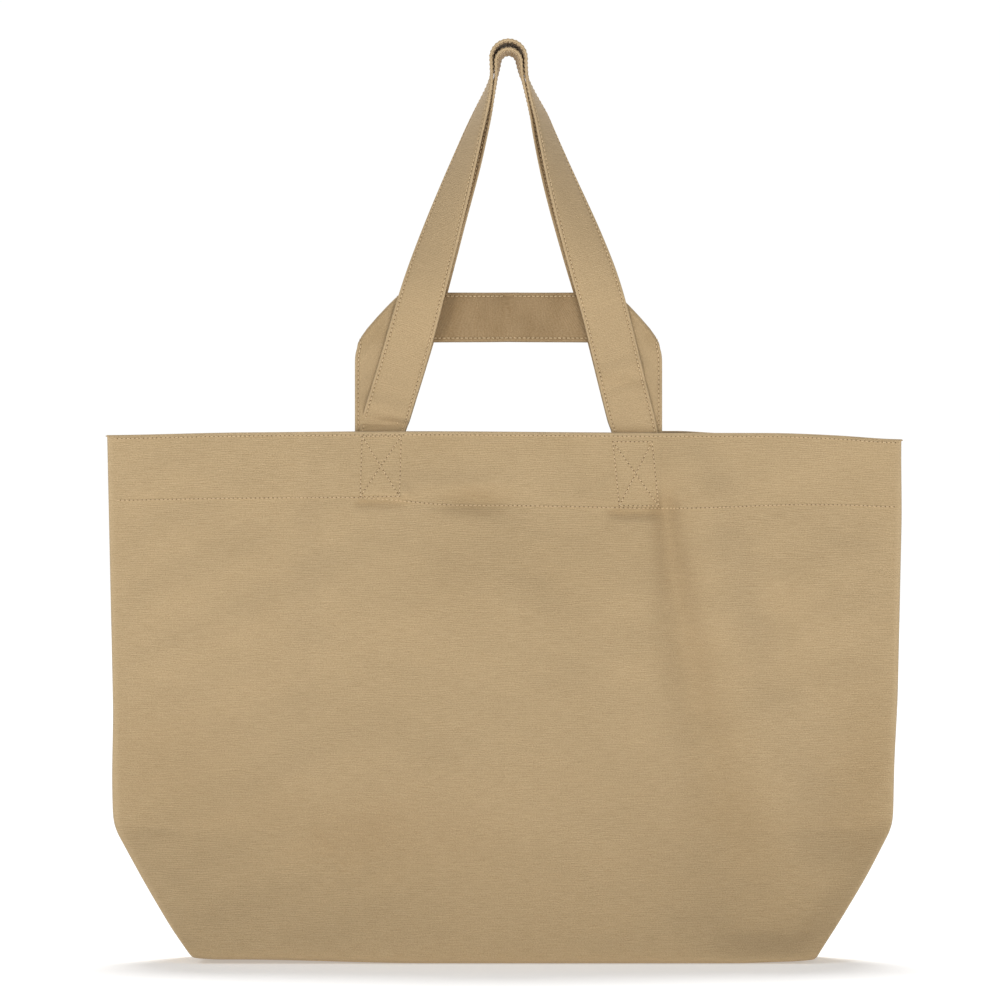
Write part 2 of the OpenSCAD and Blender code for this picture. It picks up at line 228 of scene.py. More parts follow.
def painted_fold_shade(side, x, z):
    """How much painted shade each place on the slack cloth gets, darkest in its soft hollows and creases,
    0 to 1.
    """
    s = sizes()
    X, Z = x / MM * (1 if side < 0 else -1), z / MM
    out = 0.5 * hill(X, Z, -222, 130, 44, 34) + 0.5 * hill(X, Z, -86, 78, 60, 30)
    out = out + 0.8 * hill(X, Z, 238, 112, 24, 60) + 0.25 * hill(X, Z, 150, 62, 30, 28)
    down_right = [(106, 294), (116, 225), (132, 157), (152, 86), (172, 44), (190, 10)]
    out = out + 0.5 * crease(X, Z, down_right, 10, 20)
    out = out + 0.35 * hill(X, Z, 12, 256, 60, 26) + 1.1 * hill(X, Z, -20, 300, 15, 6)
    out = out + 0.45 * hill(X, Z, -44, 338, 12, 7) + 0.45 * hill(X, Z, 34, 338, 12, 7)
    out = out + 0.35 * hill(X, Z, 104, 318, 5, 24)
    for end, drop in ((-1, 0), (1, -6.5)):
        across = np.abs(X - (end * s.anchor_x + s.strap_shift) / MM)
        out = out + 0.9 * smooth((20 - across) / 6) * bell((Z - 299 - drop) / 3)
    out = out - 0.35 * crease(X, Z, [(-118, 300), (-118, 170)], 12, 40) + 0.2 * ripple(X, Z, 31 + side, 70)
    return np.clip(out, 0, 1)


def mark_painted_shade(piece, values):
    """Stores each point's painted shade, for the cloth finish to darken its colour with."""
    mark = piece.data.attributes.new("painted_shade", "FLOAT", "POINT")
    mark.data.foreach_set("value", np.clip(values, 0, 1).astype(np.float32))


def hem_level(x):
    """Height of the hem's row of stitches, which sags a little between the handles."""
    X = np.asarray(x) / MM
    drop = 5.2 * smooth((X + 105) / 80) + 1.2 * bell((X - 100) / 50) - 3.2 * smooth((X - 120) / 140)
    return RIM_H - (42.8 + drop) * MM


def settled(side, x, z):
    """Small rise and dip of the rim and the base, as places across and up."""
    X, Z = x / MM, z / MM
    rim = 1.1 * bell((X + 60) / 110) - np.where(X < 0, 1.3, 3.0) * smooth((np.abs(X) - 170) / 92)
    rim = rim - 1.0 * smooth((X - 215) / 45)
    if side > 0:
        rim = rim + 1.5 * smooth((X - 70) / 22) - 1.5 * smooth((X - 112) / 35)
    low = np.where(X < 0, 2.4 * smooth((-X - 50) / 125), 1.2 * smooth((X - 150) / 45))
    low = low + 1.1 * smooth((np.abs(X) - 188) / 16)
    up = rim * smooth((z / RIM_H - 0.45) / 0.55) + low * smooth(1 - z / (60 * MM))
    left = -(0.9 + 1.7 * smooth((170 - Z) / 60)) * smooth((Z + 4) / 26)
    right = 1.3 * smooth((Z - 120) / 60) * smooth((345 - Z) / 60)
    right = right + 0.9 * hill(X, Z, 240, 56, 60, 16) - 1.5 * smooth((26 - Z) / 24)
    sway = np.where(X < 0, left * smooth((-X - 130) / 80), right * smooth((X - 130) / 80))
    return x + sway * MM, z + up * MM


def on_wall(side, x, z, depth=0.0):
    """Places on a panel, depth being measured inward from its outer face."""
    x, z = np.broadcast_arrays(np.asarray(x, float), np.asarray(z, float))
    wall, slack_out = wall_y(x, z), folds(side, x, z)
    room = 0.62 * wall + CLOSED
    slack_out = np.where(slack_out < 0, -room * np.tanh(-slack_out / room), slack_out)
    y = side * (wall + slack_out - depth)
    nx, nz = settled(side, x, z)
    return np.stack([nx, y, nz], -1)


# Mesh making

def unit(v):
    return v / np.maximum(np.linalg.norm(v, axis=-1, keepdims=True), 1e-12)


def make_piece(name, points, faces, flat, wear=None):
    """A mesh piece; flat holds each point's place on the uncut cloth, in metres."""
    points = np.asarray(points, float).reshape(-1, 3)
    mesh = bpy.data.meshes.new(name)
    mesh.from_pydata(points.tolist(), [], [tuple(int(i) for i in f) for f in faces])
    index = np.zeros(len(mesh.loops), np.int32)
    mesh.loops.foreach_get("vertex_index", index)
    layer = mesh.uv_layers.new(name="Cloth")
    flat = np.asarray(flat, float).reshape(-1, 2)
    layer.data.foreach_set("uv", flat[index].astype(np.float32).ravel())
    mark = mesh.attributes.new("wear", "FLOAT", "POINT")
    values = np.zeros(len(points)) if wear is None else np.asarray(wear, float).ravel()
    mark.data.foreach_set("value", values.astype(np.float32))
    piece = bpy.data.objects.new(name, mesh)
    bpy.context.scene.collection.objects.link(piece)
    mesh.polygons.foreach_set("use_smooth", np.ones(len(mesh.polygons), bool))
    mesh.update()
    return piece


def grid_faces(rows, cols, start=0, ring=False):
    i = np.arange(rows - 1)[:, None] * cols
    j = np.arange(cols if ring else cols - 1)[None, :]
    k = (j + 1) % cols
    a, b, c, d = i + j, i + k, i + cols + k, i + cols + j
    return (np.stack([a, b, c, d], -1).reshape(-1, 4) + start).tolist()


def tube(rings):
    """Closes rings of places into one skin. Returns its points and faces."""
    rows, cols = rings.shape[:2]
    count = rows * cols
    j = np.arange(cols)
    k = (j + 1) % cols
    faces = grid_faces(rows, cols, ring=True)
    faces += np.stack([k, j, np.full(cols, count)], -1).tolist()
    faces += np.stack([count - cols + j, count - cols + k, np.full(cols, count + 1)], -1).tolist()
    ends = np.stack([rings[0].mean(0), rings[-1].mean(0)])
    return np.concatenate([rings.reshape(-1, 3), ends]), faces


def run_of(path):
    """How far along a path each of its places lies."""
    return np.concatenate([[0], np.cumsum(np.linalg.norm(np.diff(path, axis=0), axis=1))])


def along_path(path, run, where):
    return np.stack([np.interp(where, run, path[:, k]) for k in range(3)], -1)


def sweep(path, across, out, section, round_ends=0.0):
    """Sweeps a closed section along a path. Returns points, faces and cloth places."""
    path, across, out = (np.asarray(v, float) for v in (path, across, out))
    section = np.asarray(section, float)
    scale = np.ones(len(path))
    if round_ends:
        ahead = unit(path[1] - path[0])
        behind = unit(path[-1] - path[-2])
        extra = [(0.35, 0.72), (0.8, 0.93)]
        first = [path[0] - ahead * round_ends * (1 - a) for a, _ in extra]
        last = [path[-1] + behind * round_ends * (1 - a) for a, _ in reversed(extra)]
        path = np.concatenate([first, path, last])
        across = np.concatenate([[across[0]] * 2, across, [across[-1]] * 2])
        out = np.concatenate([[out[0]] * 2, out, [out[-1]] * 2])
        shares = [b for _, b in extra]
        scale = np.concatenate([shares, scale, shares[::-1]])
    a = section[None, :, 0, None] * across[:, None]
    b = section[None, :, 1, None] * out[:, None] * scale[:, None, None]
    points, faces = tube(path[:, None] + a + b)
    run = run_of(path)
    flat = np.stack(np.broadcast_arrays(section[None, :, 0], run[:, None]), -1)
    flat = np.concatenate([flat.reshape(-1, 2), [[0, 0], [0, run[-1]]]])
    return points, faces, flat


def strap_section(width, thickness):
    """A folded strap: rounded edges, a slight crown and a furrow under each row of stitches."""
    half = width / 2
    share = np.array([0, 0.02, 0.06, 0.12, 0.2, 0.35, 0.6])
    near = half - share * 6 * MM
    a = np.concatenate([-near, [-half * 0.45, 0, half * 0.45], near[::-1]])
    t = np.abs(a) / half
    b = thickness / 2 * np.maximum(0, 1 - t ** 16) ** 0.5 * (0.93 + 0.07 * np.cos(t * math.pi / 2))
    b = b - 0.32 * MM * bell((np.abs(a) - half + EDGE_ROW) / (0.75 * MM))
    b = np.maximum(b, 0.12 * thickness / 2)
    return np.concatenate([np.stack([a, -b], -1), np.stack([a[::-1], b[::-1]], -1)])


def strap_wear(section, points):
    """Rubbed edges for every point of a strap."""
    t = np.abs(section[:, 0]) / (sizes().strap_w / 2)
    edge = np.clip((t - 0.86) / 0.14, 0, 1) ** 1.5
    return np.append(np.tile(edge, (len(points) - 2) // len(section)), [0, 0])


def stitches(name, runs, lift, seed):
    """Separate stitches along runs of (places, outward directions), their ends dipping into the cloth,
    each with a small dark disc of painted shade at its needle hole.
    """
    s = sizes()
    rng = np.random.default_rng(seed)
    radius = s.thread_d / 2
    spots, ahead, outward, along = [], [], [], []
    for path, normal in runs:
        path, normal = np.asarray(path, float), unit(np.asarray(normal, float))
        run = run_of(path)
        count = max(1, round(run[-1] / s.stitch))
        pitch = run[-1] / count
        middle = (np.arange(count) + 0.5) * pitch
        spots.append(along_path(path, run, middle))
        after, before = (along_path(path, run, middle + half) for half in (pitch / 2, -pitch / 2))
        ahead.append((after - before) / 2)
        outward.append(unit(along_path(normal, run, middle)))
        along.append(middle)
    spots, ahead, outward = np.concatenate(spots), np.concatenate(ahead), np.concatenate(outward)
    side = unit(np.cross(ahead, outward))
    step = np.array([-0.74, -0.64, -0.38, 0, 0.38, 0.64, 0.74])
    thick = np.array([0.45, 0.8, 1, 1, 1, 0.8, 0.45])
    rise = np.array([-1.5, -0.6, 0.25, 0.5, 0.25, -0.6, -1.5]) + lift
    turn = np.arange(6) * math.pi / 3
    tilt = rng.uniform(-0.07, 0.07, len(spots))[:, None, None, None]
    size = rng.uniform(0.92, 1.06, len(spots))[:, None, None, None]
    A, S, N = (v[:, None, None, :] for v in (ahead, side, outward))
    st, th, ri = (v[None, :, None, None] for v in (step, thick, rise))
    c, d = np.cos(turn)[None, None, :, None], np.sin(turn)[None, None, :, None]
    points = spots[:, None, None, :] + A * st * size
    points = points + S * radius * (th * c + tilt * 6 * st) + N * radius * (ri + th * d)
    rings, cols = len(step), 6
    one = grid_faces(rings, cols, ring=True)
    one += [[5, 4, 3, 2, 1, 0], [rings * cols - 6 + k for k in range(6)]]
    faces = []
    for i in range(len(spots)):
        faces += [[v + i * rings * cols for v in f] for f in one]
    flat = np.zeros((len(spots), rings, cols, 2))
    flat[..., 0] = turn[None, None, :] / FULL_TURN * 4 * s.thread_d
    flat[..., 1] = (np.concatenate(along)[:, None] + step[None] * s.stitch / 2)[:, :, None]
    count = len(spots) * rings * cols
    # Painted shade: a small dark disc sunk into the cloth at each stitch's end stands in for the shadow in
    # its needle hole.
    holes = spots + ahead + outward * radius * 0.36
    way = unit(ahead)
    ring = np.stack([np.cos(turn), np.sin(turn)], -1) * 0.43 * MM
    brim = holes[:, None] + way[:, None] * ring[None, :, :1] + side[:, None] * ring[None, :, 1:]
    brim = brim - outward[:, None] * 0.25 * MM
    caps = np.concatenate([brim, holes[:, None], holes[:, None] - outward[:, None] * 0.5 * MM], 1)
    for i in range(len(spots)):
        first = count + i * 8
        for k in range(6):
            faces.append([first + k, first + (k + 1) % 6, first + 6])
            faces.append([first + (k + 1) % 6, first + k, first + 7])
    points = np.concatenate([points.reshape(-1, 3), caps.reshape(-1, 3)])
    flat = np.concatenate([flat.reshape(-1, 2), np.zeros((len(spots) * 8, 2))])
    piece = facing_out(make_piece(name, points, faces, flat))
    is_hole_shade = np.zeros(len(faces), np.int32)
    is_hole_shade[len(faces) - len(spots) * 12:] = 1
    for material in ("Twisted thread", "Needle hole shade"):
        piece.data.materials.append(bpy.data.materials[material])
    piece.data.polygons.foreach_set("material_index", is_hole_shade)
    return piece


def facing_out(piece):
    """Turns every face outward."""
    work = bmesh.new()
    work.from_mesh(piece.data)
    bmesh.ops.recalc_face_normals(work, faces=work.faces[:])
    work.to_mesh(piece.data)
    work.free()
    return piece


# Finishes

def node_group(name, inputs, outputs):
    """An empty shader group with named sockets, and its two end nodes."""
    group = bpy.data.node_groups.new(name, "ShaderNodeTree")
    for kind, label, value in inputs:
        socket = group.interface.new_socket(label, in_out="INPUT", socket_type=kind)
        if value is not None:
            socket.default_value = value
    for kind, label in outputs:
        group.interface.new_socket(label, in_out="OUTPUT", socket_type=kind)
    return group, group.nodes.new("NodeGroupInput"), group.nodes.new("NodeGroupOutput")


def feed(tree, socket, value):
    """Gives a socket a number, a colour or another node's output."""
    if isinstance(value, tuple) and len(value) == 3 and socket.type == "RGBA":
        value = (*value, 1)
    if isinstance(value, (int, float, tuple)):
        socket.default_value = value
    else:
        tree.links.new(value, socket)


def maths(tree, kind, *values):
    node = tree.nodes.new("ShaderNodeMath")
    node.operation = kind
    for socket, value in zip(node.inputs, values):
        feed(tree, socket, value)
    return node.outputs[0]


def noise(tree, place, **settings):
    node = tree.nodes.new("ShaderNodeTexNoise")
    feed(tree, node.inputs["Vector"], place)
    for label, value in settings.items():
        feed(tree, node.inputs[label], value)
    return node.outputs["Fac"]


def stretched(tree, place, across, along, detail=2.0):
    """Noise drawn out along the threads."""
    scale = tree.nodes.new("ShaderNodeVectorMath")
    scale.operation = "MULTIPLY"
    feed(tree, scale.inputs[0], place)
    feed(tree, scale.inputs[1], (across, along, 1))
    return noise(tree, scale.outputs[0], Scale=1, Detail=detail, Roughness=0.5)


def split_up(tree, place):
    """The single measures of a place."""
    node = tree.nodes.new("ShaderNodeSeparateXYZ")
    feed(tree, node.inputs[0], place)
    return node.outputs


def bumped(tree, shader, height, distance, strength=1.0):
    relief = tree.nodes.new("ShaderNodeBump")
    feed(tree, relief.inputs["Distance"], distance)
    feed(tree, relief.inputs["Strength"], strength)
    feed(tree, relief.inputs["Height"], height)
    feed(tree, shader.inputs["Normal"], relief.outputs["Normal"])


def new_finish(name):
    """Makes a material. Returns its node tree and its shader."""
    material = bpy.data.materials.new(name)
    material.use_nodes = True
    return material.node_tree, material.node_tree.nodes["Principled BSDF"]


def stored(tree, name):
    """A value stored on the mesh."""
    node = tree.nodes.new("ShaderNodeAttribute")
    node.attribute_name = name
    return node.outputs["Fac"]


def cloth_place(tree):
    node = tree.nodes.new("ShaderNodeUVMap")
    node.uv_map = "Cloth"
    return node.outputs[0]


def object_place(tree):
    return tree.nodes.new("ShaderNodeTexCoord").outputs["Object"]


def weave_group():
    """Plain canvas weave: weft ribs, finer warp threads, slubs and specks."""
    group, start, end = node_group(
        "Canvas weave",
        [("NodeSocketVector", "Cloth", None), ("NodeSocketFloat", "Rib Spacing", 1.85 * MM),
         ("NodeSocketFloat", "Warp Spacing", 1.1 * MM), ("NodeSocketFloat", "Slub", 1.0)],
        [("NodeSocketFloat", "Shade"), ("NodeSocketFloat", "Height"), ("NodeSocketFloat", "Specks")],
    )
    cloth, spacing = start.outputs["Cloth"], start.outputs["Rib Spacing"]
    calc = partial(maths, group)
    across, along = split_up(group, cloth)[:2]
    drift = calc("MULTIPLY", calc("SUBTRACT", stretched(group, cloth, 34, 90), 0.5), 6 * MM)
    v = calc("DIVIDE", calc("ADD", along, drift), spacing)
    rib = calc("SINE", calc("MULTIPLY", v, FULL_TURN))
    u = calc("DIVIDE", calc("ADD", across, calc("MULTIPLY", drift, 0.6)), start.outputs["Warp Spacing"])
    warp = calc("SINE", calc("MULTIPLY", u, FULL_TURN))
    slub = calc("SUBTRACT", stretched(group, cloth, 110, 800), 0.5)
    fine = calc("SUBTRACT", stretched(group, cloth, 1100, 1500, 1.0), 0.5)
    slub = calc("MULTIPLY", slub, start.outputs["Slub"])
    patch = calc("MULTIPLY", calc("SUBTRACT", stretched(group, cloth, 70, 130, 1.0), 0.3), 0.30)
    twill = calc("SINE", calc("MULTIPLY", calc("ADD", v, u), 4.1))
    shade = calc("MULTIPLY_ADD", rib, patch, calc("MULTIPLY", warp, 0.05))
    shade = calc("MULTIPLY_ADD", twill, 0.06, shade)
    shade = calc("ADD", shade, calc("MULTIPLY_ADD", slub, 0.6, calc("MULTIPLY", fine, 1.6)))
    feed(group, end.inputs["Shade"], calc("ADD", shade, 0.5))
    threads = calc("MULTIPLY_ADD", warp, 0.15, calc("MULTIPLY", slub, 0.9))
    feed(group, end.inputs["Height"], calc("ADD", calc("MULTIPLY_ADD", rib, 0.35, 0.5), threads))
    speck = calc("SUBTRACT", stretched(group, cloth, 620, 620, 0.0), 0.74)
    speck = calc("MAXIMUM", calc("MULTIPLY", speck, 14), 0)
    feed(group, end.inputs["Specks"], calc("SMOOTH_MIN", speck, 1, 0.1))
    return group


def wear_group():
    """Handling marks: broad cloudy tone and rubbed edges."""
    group, start, end = node_group(
        "Handled cloth",
        [("NodeSocketVector", "Place", None), ("NodeSocketFloat", "Edge", 0.0),
         ("NodeSocketFloat", "Cloud Size", 9.0)],
        [("NodeSocketFloat", "Tone"), ("NodeSocketFloat", "Rubbed")],
    )
    calc = partial(maths, group)
    place = start.outputs["Place"]
    tone = noise(group, place, Scale=start.outputs["Cloud Size"], Detail=5, Roughness=0.62)
    feed(group, end.inputs["Tone"], tone)
    fray = noise(group, place, Scale=420)
    rub = calc("MULTIPLY", start.outputs["Edge"], calc("MULTIPLY_ADD", fray, 1.1, 0.35))
    feed(group, end.inputs["Rubbed"], calc("MINIMUM", rub, 1))
    return group


def pucker_group():
    """The furrow under one row of stitches, and the painted shade of its needle holes."""
    group, start, end = node_group(
        "Stitch row",
        [("NodeSocketFloat", "Across", 0.0), ("NodeSocketFloat", "Along", 0.0),
         ("NodeSocketFloat", "Pitch", 2.9 * MM)],
        [("NodeSocketFloat", "Hole Shade"), ("NodeSocketFloat", "Furrow")],
    )
    calc = partial(maths, group)
    near = calc("DIVIDE", start.outputs["Across"], 0.75 * MM)
    furrow = calc("EXPONENT", calc("MULTIPLY", calc("MULTIPLY", near, near), -1))
    turn = calc("MULTIPLY", calc("DIVIDE", start.outputs["Along"], start.outputs["Pitch"]), FULL_TURN)
    dot = calc("POWER", calc("MULTIPLY_ADD", calc("COSINE", turn), 0.5, 0.5), 2.5)
    feed(group, end.inputs["Hole Shade"], calc("MULTIPLY", furrow, dot))
    feed(group, end.inputs["Furrow"], furrow)
    return group


def place_group(tree, name, **values):
    """Puts a shader group into a tree. Returns its outputs."""
    node = tree.nodes.new("ShaderNodeGroup")
    node.node_tree = bpy.data.node_groups[name]
    for label, value in values.items():
        feed(tree, node.inputs[label.replace("_", " ")], value)
    return node.outputs


def tint(tree, factor, base, other, kind="MIX"):
    mix = tree.nodes.new("ShaderNodeMix")
    mix.data_type = "RGBA"
    mix.blend_type = kind
    for place, value in ((0, factor), (6, base), (7, other)):
        feed(tree, mix.inputs[place], value)
    return mix.outputs[2]


def scaled(colour, *shares):
    return tuple(min(1, c * k) for c, k in zip(colour, shares))


def canvas_finish(name, colour, rib, warp, slub, bump, edge_row=None):
    """Cotton canvas. edge_row is how far from a strap's middle its stitches run."""
    tree, shader = new_finish(name)
    calc = partial(maths, tree)
    flat, edge = cloth_place(tree), stored(tree, "wear")
    weave = place_group(tree, "Canvas weave", Cloth=flat, Rib_Spacing=rib, Warp_Spacing=warp, Slub=slub)
    wear = place_group(tree, "Handled cloth", Place=object_place(tree), Edge=edge)
    # seed is the colour of real seed specks in the cotton, also used for the painted shade of needle
    # holes.
    seed = scaled(colour, 0.62, 0.55, 0.45)
    dark, light = scaled(colour, 0.80, 0.77, 0.71), scaled(colour, 1.17, 1.19, 1.24)
    colour_now = tint(tree, weave["Shade"], dark, light)
    # The random cloudy tone and the stored painted shade of hollows and creases both darken the colour
    # here.
    tone = calc("MULTIPLY_ADD", wear["Tone"], 0.5, -0.13)
    tone = calc("MULTIPLY_ADD", stored(tree, "painted_shade"), 0.8, tone)
    colour_now = tint(tree, tone, colour_now, (0.86, 0.84, 0.80), "MULTIPLY")
    worn = scaled(colour, 1.22, 1.26, 1.34)
    colour_now = tint(tree, calc("MULTIPLY", wear["Rubbed"], 0.5), colour_now, worn)
    colour_now = tint(tree, calc("MULTIPLY", weave["Specks"], 0.3), colour_now, seed)
    height = weave["Height"]
    if edge_row:
        across, along = split_up(tree, flat)[:2]
        across = calc("SUBTRACT", calc("ABSOLUTE", across), edge_row)
        row = place_group(tree, "Stitch row", Across=across, Along=along, Pitch=sizes().stitch)
        # Painted shade: the needle holes along each strap's stitch rows are darkened towards the speck
        # colour.
        colour_now = tint(tree, calc("MULTIPLY", row["Hole Shade"], 0.55), colour_now, seed)
        height = calc("MULTIPLY_ADD", row["Furrow"], -1.6, height)
    looks = {
        "Base Color": colour_now, "Roughness": calc("MULTIPLY_ADD", weave["Shade"], -0.08, 0.96),
        "Specular IOR Level": 0.18, "Sheen Weight": 0.12, "Sheen Roughness": 0.55,
    }
    for label, value in looks.items():
        feed(tree, shader.inputs[label], value)
    bumped(tree, shader, height, bump, 0.8)


def thread_finish():
    """Twisted cotton thread."""
    tree, shader = new_finish("Twisted thread")
    calc = partial(maths, tree)
    across, along = split_up(tree, cloth_place(tree))[:2]
    ply = calc("SINE", calc("MULTIPLY", calc("ADD", across, along), 9000))
    tone = place_group(tree, "Handled cloth", Place=object_place(tree), Cloud_Size=60.0)["Tone"]
    base = tuple(colours().thread)
    ply_mask = calc("MULTIPLY_ADD", ply, 0.3, calc("MULTIPLY", tone, 0.8))
    feed(tree, shader.inputs["Base Color"], tint(tree, ply_mask, base, scaled(base, 0.74, 0.74, 0.74)))
    feed(tree, shader.inputs["Roughness"], calc("MULTIPLY_ADD", tone, 0.2, 0.62))
    feed(tree, shader.inputs["Specular IOR Level"], 0.2)
    bumped(tree, shader, ply, 0.015 * MM)


def finish_piece(piece, material, slot, body, *nodes):
    if not piece.data.materials:
        piece.data.materials.append(bpy.data.materials[material])
    if nodes:
        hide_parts(*nodes)
    if body:
        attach(piece, body)
    return piece


# Body cloth

def panel_cloth(name, side):
    """One half of the body: wall, half of each boxed corner, half of the base and the rolled rim."""
    s = sizes()
    step = 2.1 * MM
    near = np.array([0.0086, 0.0060, 0.0036, 0.0016, 0.0004, 0])
    cols = round(s.rim_w / step)
    t = np.concatenate([near[::-1] - 1, np.linspace(-1 + 0.017, 1 - 0.017, cols), 1 - near])
    rows = round(RIM_H / step)
    z = np.linspace(0, RIM_H - RIM_ROLL, rows)
    Z, T = np.meshgrid(z, t, indexing="ij")
    X = T * edge_x(Z)
    wall = on_wall(side, X, Z)
    flat = np.stack([X, Z], -1)
    turn = np.array([18, 40, 65, 90, 115, 140, 165]) * math.pi / 180
    top = wall[-1]
    centre = top - np.array([0, side * RIM_ROLL, 0])
    over = np.stack([centre + np.array([0, side * math.cos(a), math.sin(a)]) * RIM_ROLL for a in turn])
    wall = np.concatenate([wall, over])
    rolled = [np.stack([X[-1], np.full(len(t), RIM_H + a * RIM_ROLL)], -1) for a in turn]
    shell = [(wall, np.concatenate([flat, np.stack(rolled)]))]
    deep = 25
    for end in (-1, 1):
        low = z[z < s.corner_h]
        levels = np.append(low, s.corner_h)
        share = np.linspace(0, 1, deep + 1)
        L, S = np.meshgrid(levels, share, indexing="ij")
        gx = end * edge_x(L)
        gy = edge_y(L) * (1 - S) + CLOSED * S
        nx, nz = settled(side, gx, L)
        gusset = np.stack([nx, side * gy, nz], -1)
        shell.append((gusset, np.stack([gx + end * (edge_y(L) - gy), L], -1)))
    share = np.linspace(0, 1, deep + 1)
    S, T = np.meshgrid(share, t, indexing="ij")
    bx = T * s.base_w / 2
    by = s.base_d / 2 * (1 - S) + CLOSED * S
    nx, nz = settled(side, bx, np.zeros_like(bx))
    shell.append((np.stack([nx, side * by, nz], -1), np.stack([bx, by - s.base_d / 2], -1)))
    points, places, faces, start = [], [], [], 0
    for p, f in shell:
        r, c = p.shape[:2]
        faces += grid_faces(r, c, start)
        points.append(p.reshape(-1, 3))
        places.append(f.reshape(-1, 2))
        start += r * c
    piece = make_piece(name, np.concatenate(points), faces, np.concatenate(places))
    work = bmesh.new()
    work.from_mesh(piece.data)
    bmesh.ops.remove_doubles(work, verts=work.verts[:], dist=0.06 * MM)
    bmesh.ops.recalc_face_normals(work, faces=work.faces[:])
    work.faces.ensure_lookup_table()
    centres = [(f.calc_center_median(), f) for f in work.faces]
    middle = min(centres, key=lambda c: abs(c[0].z - 0.2) + abs(c[0].x))[1]
    if middle.normal.y * side < 0:
        bmesh.ops.reverse_faces(work, faces=work.faces[:])
    ease_folds(work)
    work.to_mesh(piece.data)
    work.free()
    co = np.zeros(len(piece.data.vertices) * 3)
    piece.data.vertices.foreach_get("co", co)
    co = co.reshape(-1, 3)
    wide = edge_x(np.clip(co[:, 2], 0, RIM_H))
    rubbed = smooth((co[:, 2] - RIM_H + 3 * MM) / (3.4 * MM))
    rubbed += 0.8 * smooth(1 - (wide - np.abs(co[:, 0])) / (3 * MM))
    rubbed += 0.6 * smooth(1 - co[:, 2] / (5 * MM))
    piece.data.attributes["wear"].data.foreach_set("value", np.clip(rubbed, 0, 1).astype(np.float32))
    # Painted shade for the panel: it fades out towards the bottom and at the folded edges.
    low_part = smooth((100 * MM - co[:, 2]) / (90 * MM))
    off_edge = smooth((np.abs(co[:, 1]) - 1 * MM) / (2 * MM))
    mark_painted_shade(piece, painted_fold_shade(side, co[:, 0], co[:, 2]) * (1 - 0.85 * low_part) * off_edge)
    thick = piece.modifiers.new("Cloth thickness", "SOLIDIFY")
    thick.thickness = s.canvas_t
    thick.offset = -1
    thick.use_even_offset = False
    return piece


def ease_folds(work):
    """Rounds the folds of the base and boxed corners, moving the open edges only along themselves."""
    work.verts.ensure_lookup_table()
    work.verts.index_update()
    co = np.array([v.co[:] for v in work.verts])
    s = sizes()
    edges = np.array([(e.verts[0].index, e.verts[1].index) for e in work.edges])
    rim = np.array([e.is_boundary for e in work.edges])
    on_rim = np.zeros(len(co), bool)
    on_rim[edges[rim].ravel()] = True
    inner = edges[~rim]
    gusset = np.abs(np.abs(co[:, 1]) - edge_y(co[:, 2])) + np.abs(np.abs(co[:, 0]) - edge_x(co[:, 2]))
    near = smooth(1 - (co[:, 2] - 9 * MM) / (9 * MM))
    near = np.maximum(near, smooth(1 - (gusset - 8 * MM) / (12 * MM)) * (co[:, 2] < s.corner_h + 14 * MM))
    near = near * (co[:, 2] < 0.2)
    for _ in range(24):
        total, count = np.zeros_like(co), np.zeros(len(co))
        for a, b in ((inner[:, 0], inner[:, 1]), (inner[:, 1], inner[:, 0])):
            free = ~on_rim[a]
            np.add.at(total, a[free], co[b[free]])
            np.add.at(count, a[free], 1)
        for a, b in ((edges[rim, 0], edges[rim, 1]), (edges[rim, 1], edges[rim, 0])):
            np.add.at(total, a, co[b])
            np.add.at(count, a, 1)
        mean = total / np.maximum(count, 1)[:, None]
        moved = (mean - co) * 0.5 * near[:, None] * (count > 0)[:, None]
        moved[on_rim, 1] = 0
        co = co + moved
    for v, p in zip(work.verts, co):
        v.co = p


def hole_finish():
    """Shaded cloth where the needle went through."""
    tree, shader = new_finish("Needle hole shade")
    tone = place_group(tree, "Handled cloth", Place=object_place(tree), Cloud_Size=40.0)["Tone"]
    tones = [scaled(colours().body, k, 0.86 * k, 0.66 * k) for k in (0.55, 0.3)]
    feed(tree, shader.inputs["Base Color"], tint(tree, tone, *tones))
    feed(tree, shader.inputs["Roughness"], maths(tree, "MULTIPLY_ADD", tone, 0.1, 0.88))


class TOTE_OT_finishes(bpy.types.Operator):
    """Make the canvas and thread finishes"""

    bl_idname = "tote.finishes"
    bl_label = "Finishes"

    def execute(self, context):
        s, c = sizes(), colours()
        weave_group()
        wear_group()
        pucker_group()
        for name in ("Body canvas", "Lining canvas"):
            canvas_finish(name, c.body, 1.35 * MM, 1.0 * MM, 1.0, 0.16 * MM)
        row = s.strap_w / 2 - EDGE_ROW
        canvas_finish("Strap canvas", c.strap, 1.1 * MM, 0.9 * MM, 0.4, 0.16 * MM, row)
        # The hand loop finish is the strap canvas darkened: painted shade.
        canvas_finish("Shaded hand loop canvas", c.loop, 1.1 * MM, 0.9 * MM, 0.6, 0.18 * MM, row)
        thread_finish()
        hole_finish()
        return {"FINISHED"}


class TOTE_OT_panels(bpy.types.Operator):
    """Make the front and back body cloth"""

    bl_idname = "tote.panels"
    bl_label = "Body panels"

    def execute(self, context):
        for word, side in SIDES.items():
            piece = panel_cloth(word + "_panel_cloth", side)
            finish_piece(piece, "Body canvas", "body_canvas", "bag", word + "_panel")
        return {"FINISHED"}


def slab_section(width, thickness):
    half, t = width / 2, thickness / 2
    a = np.array([-1, -0.998, -0.985, -0.95, -0.5, 0, 0.5, 0.95, 0.985, 0.998, 1]) * half
    b = t * np.array([0.25, 0.62, 0.9, 1, 1, 1, 1, 1, 0.9, 0.62, 0.25])
    return np.concatenate([np.stack([a, -b], -1), np.stack([a[::-1], b[::-1]], -1)])


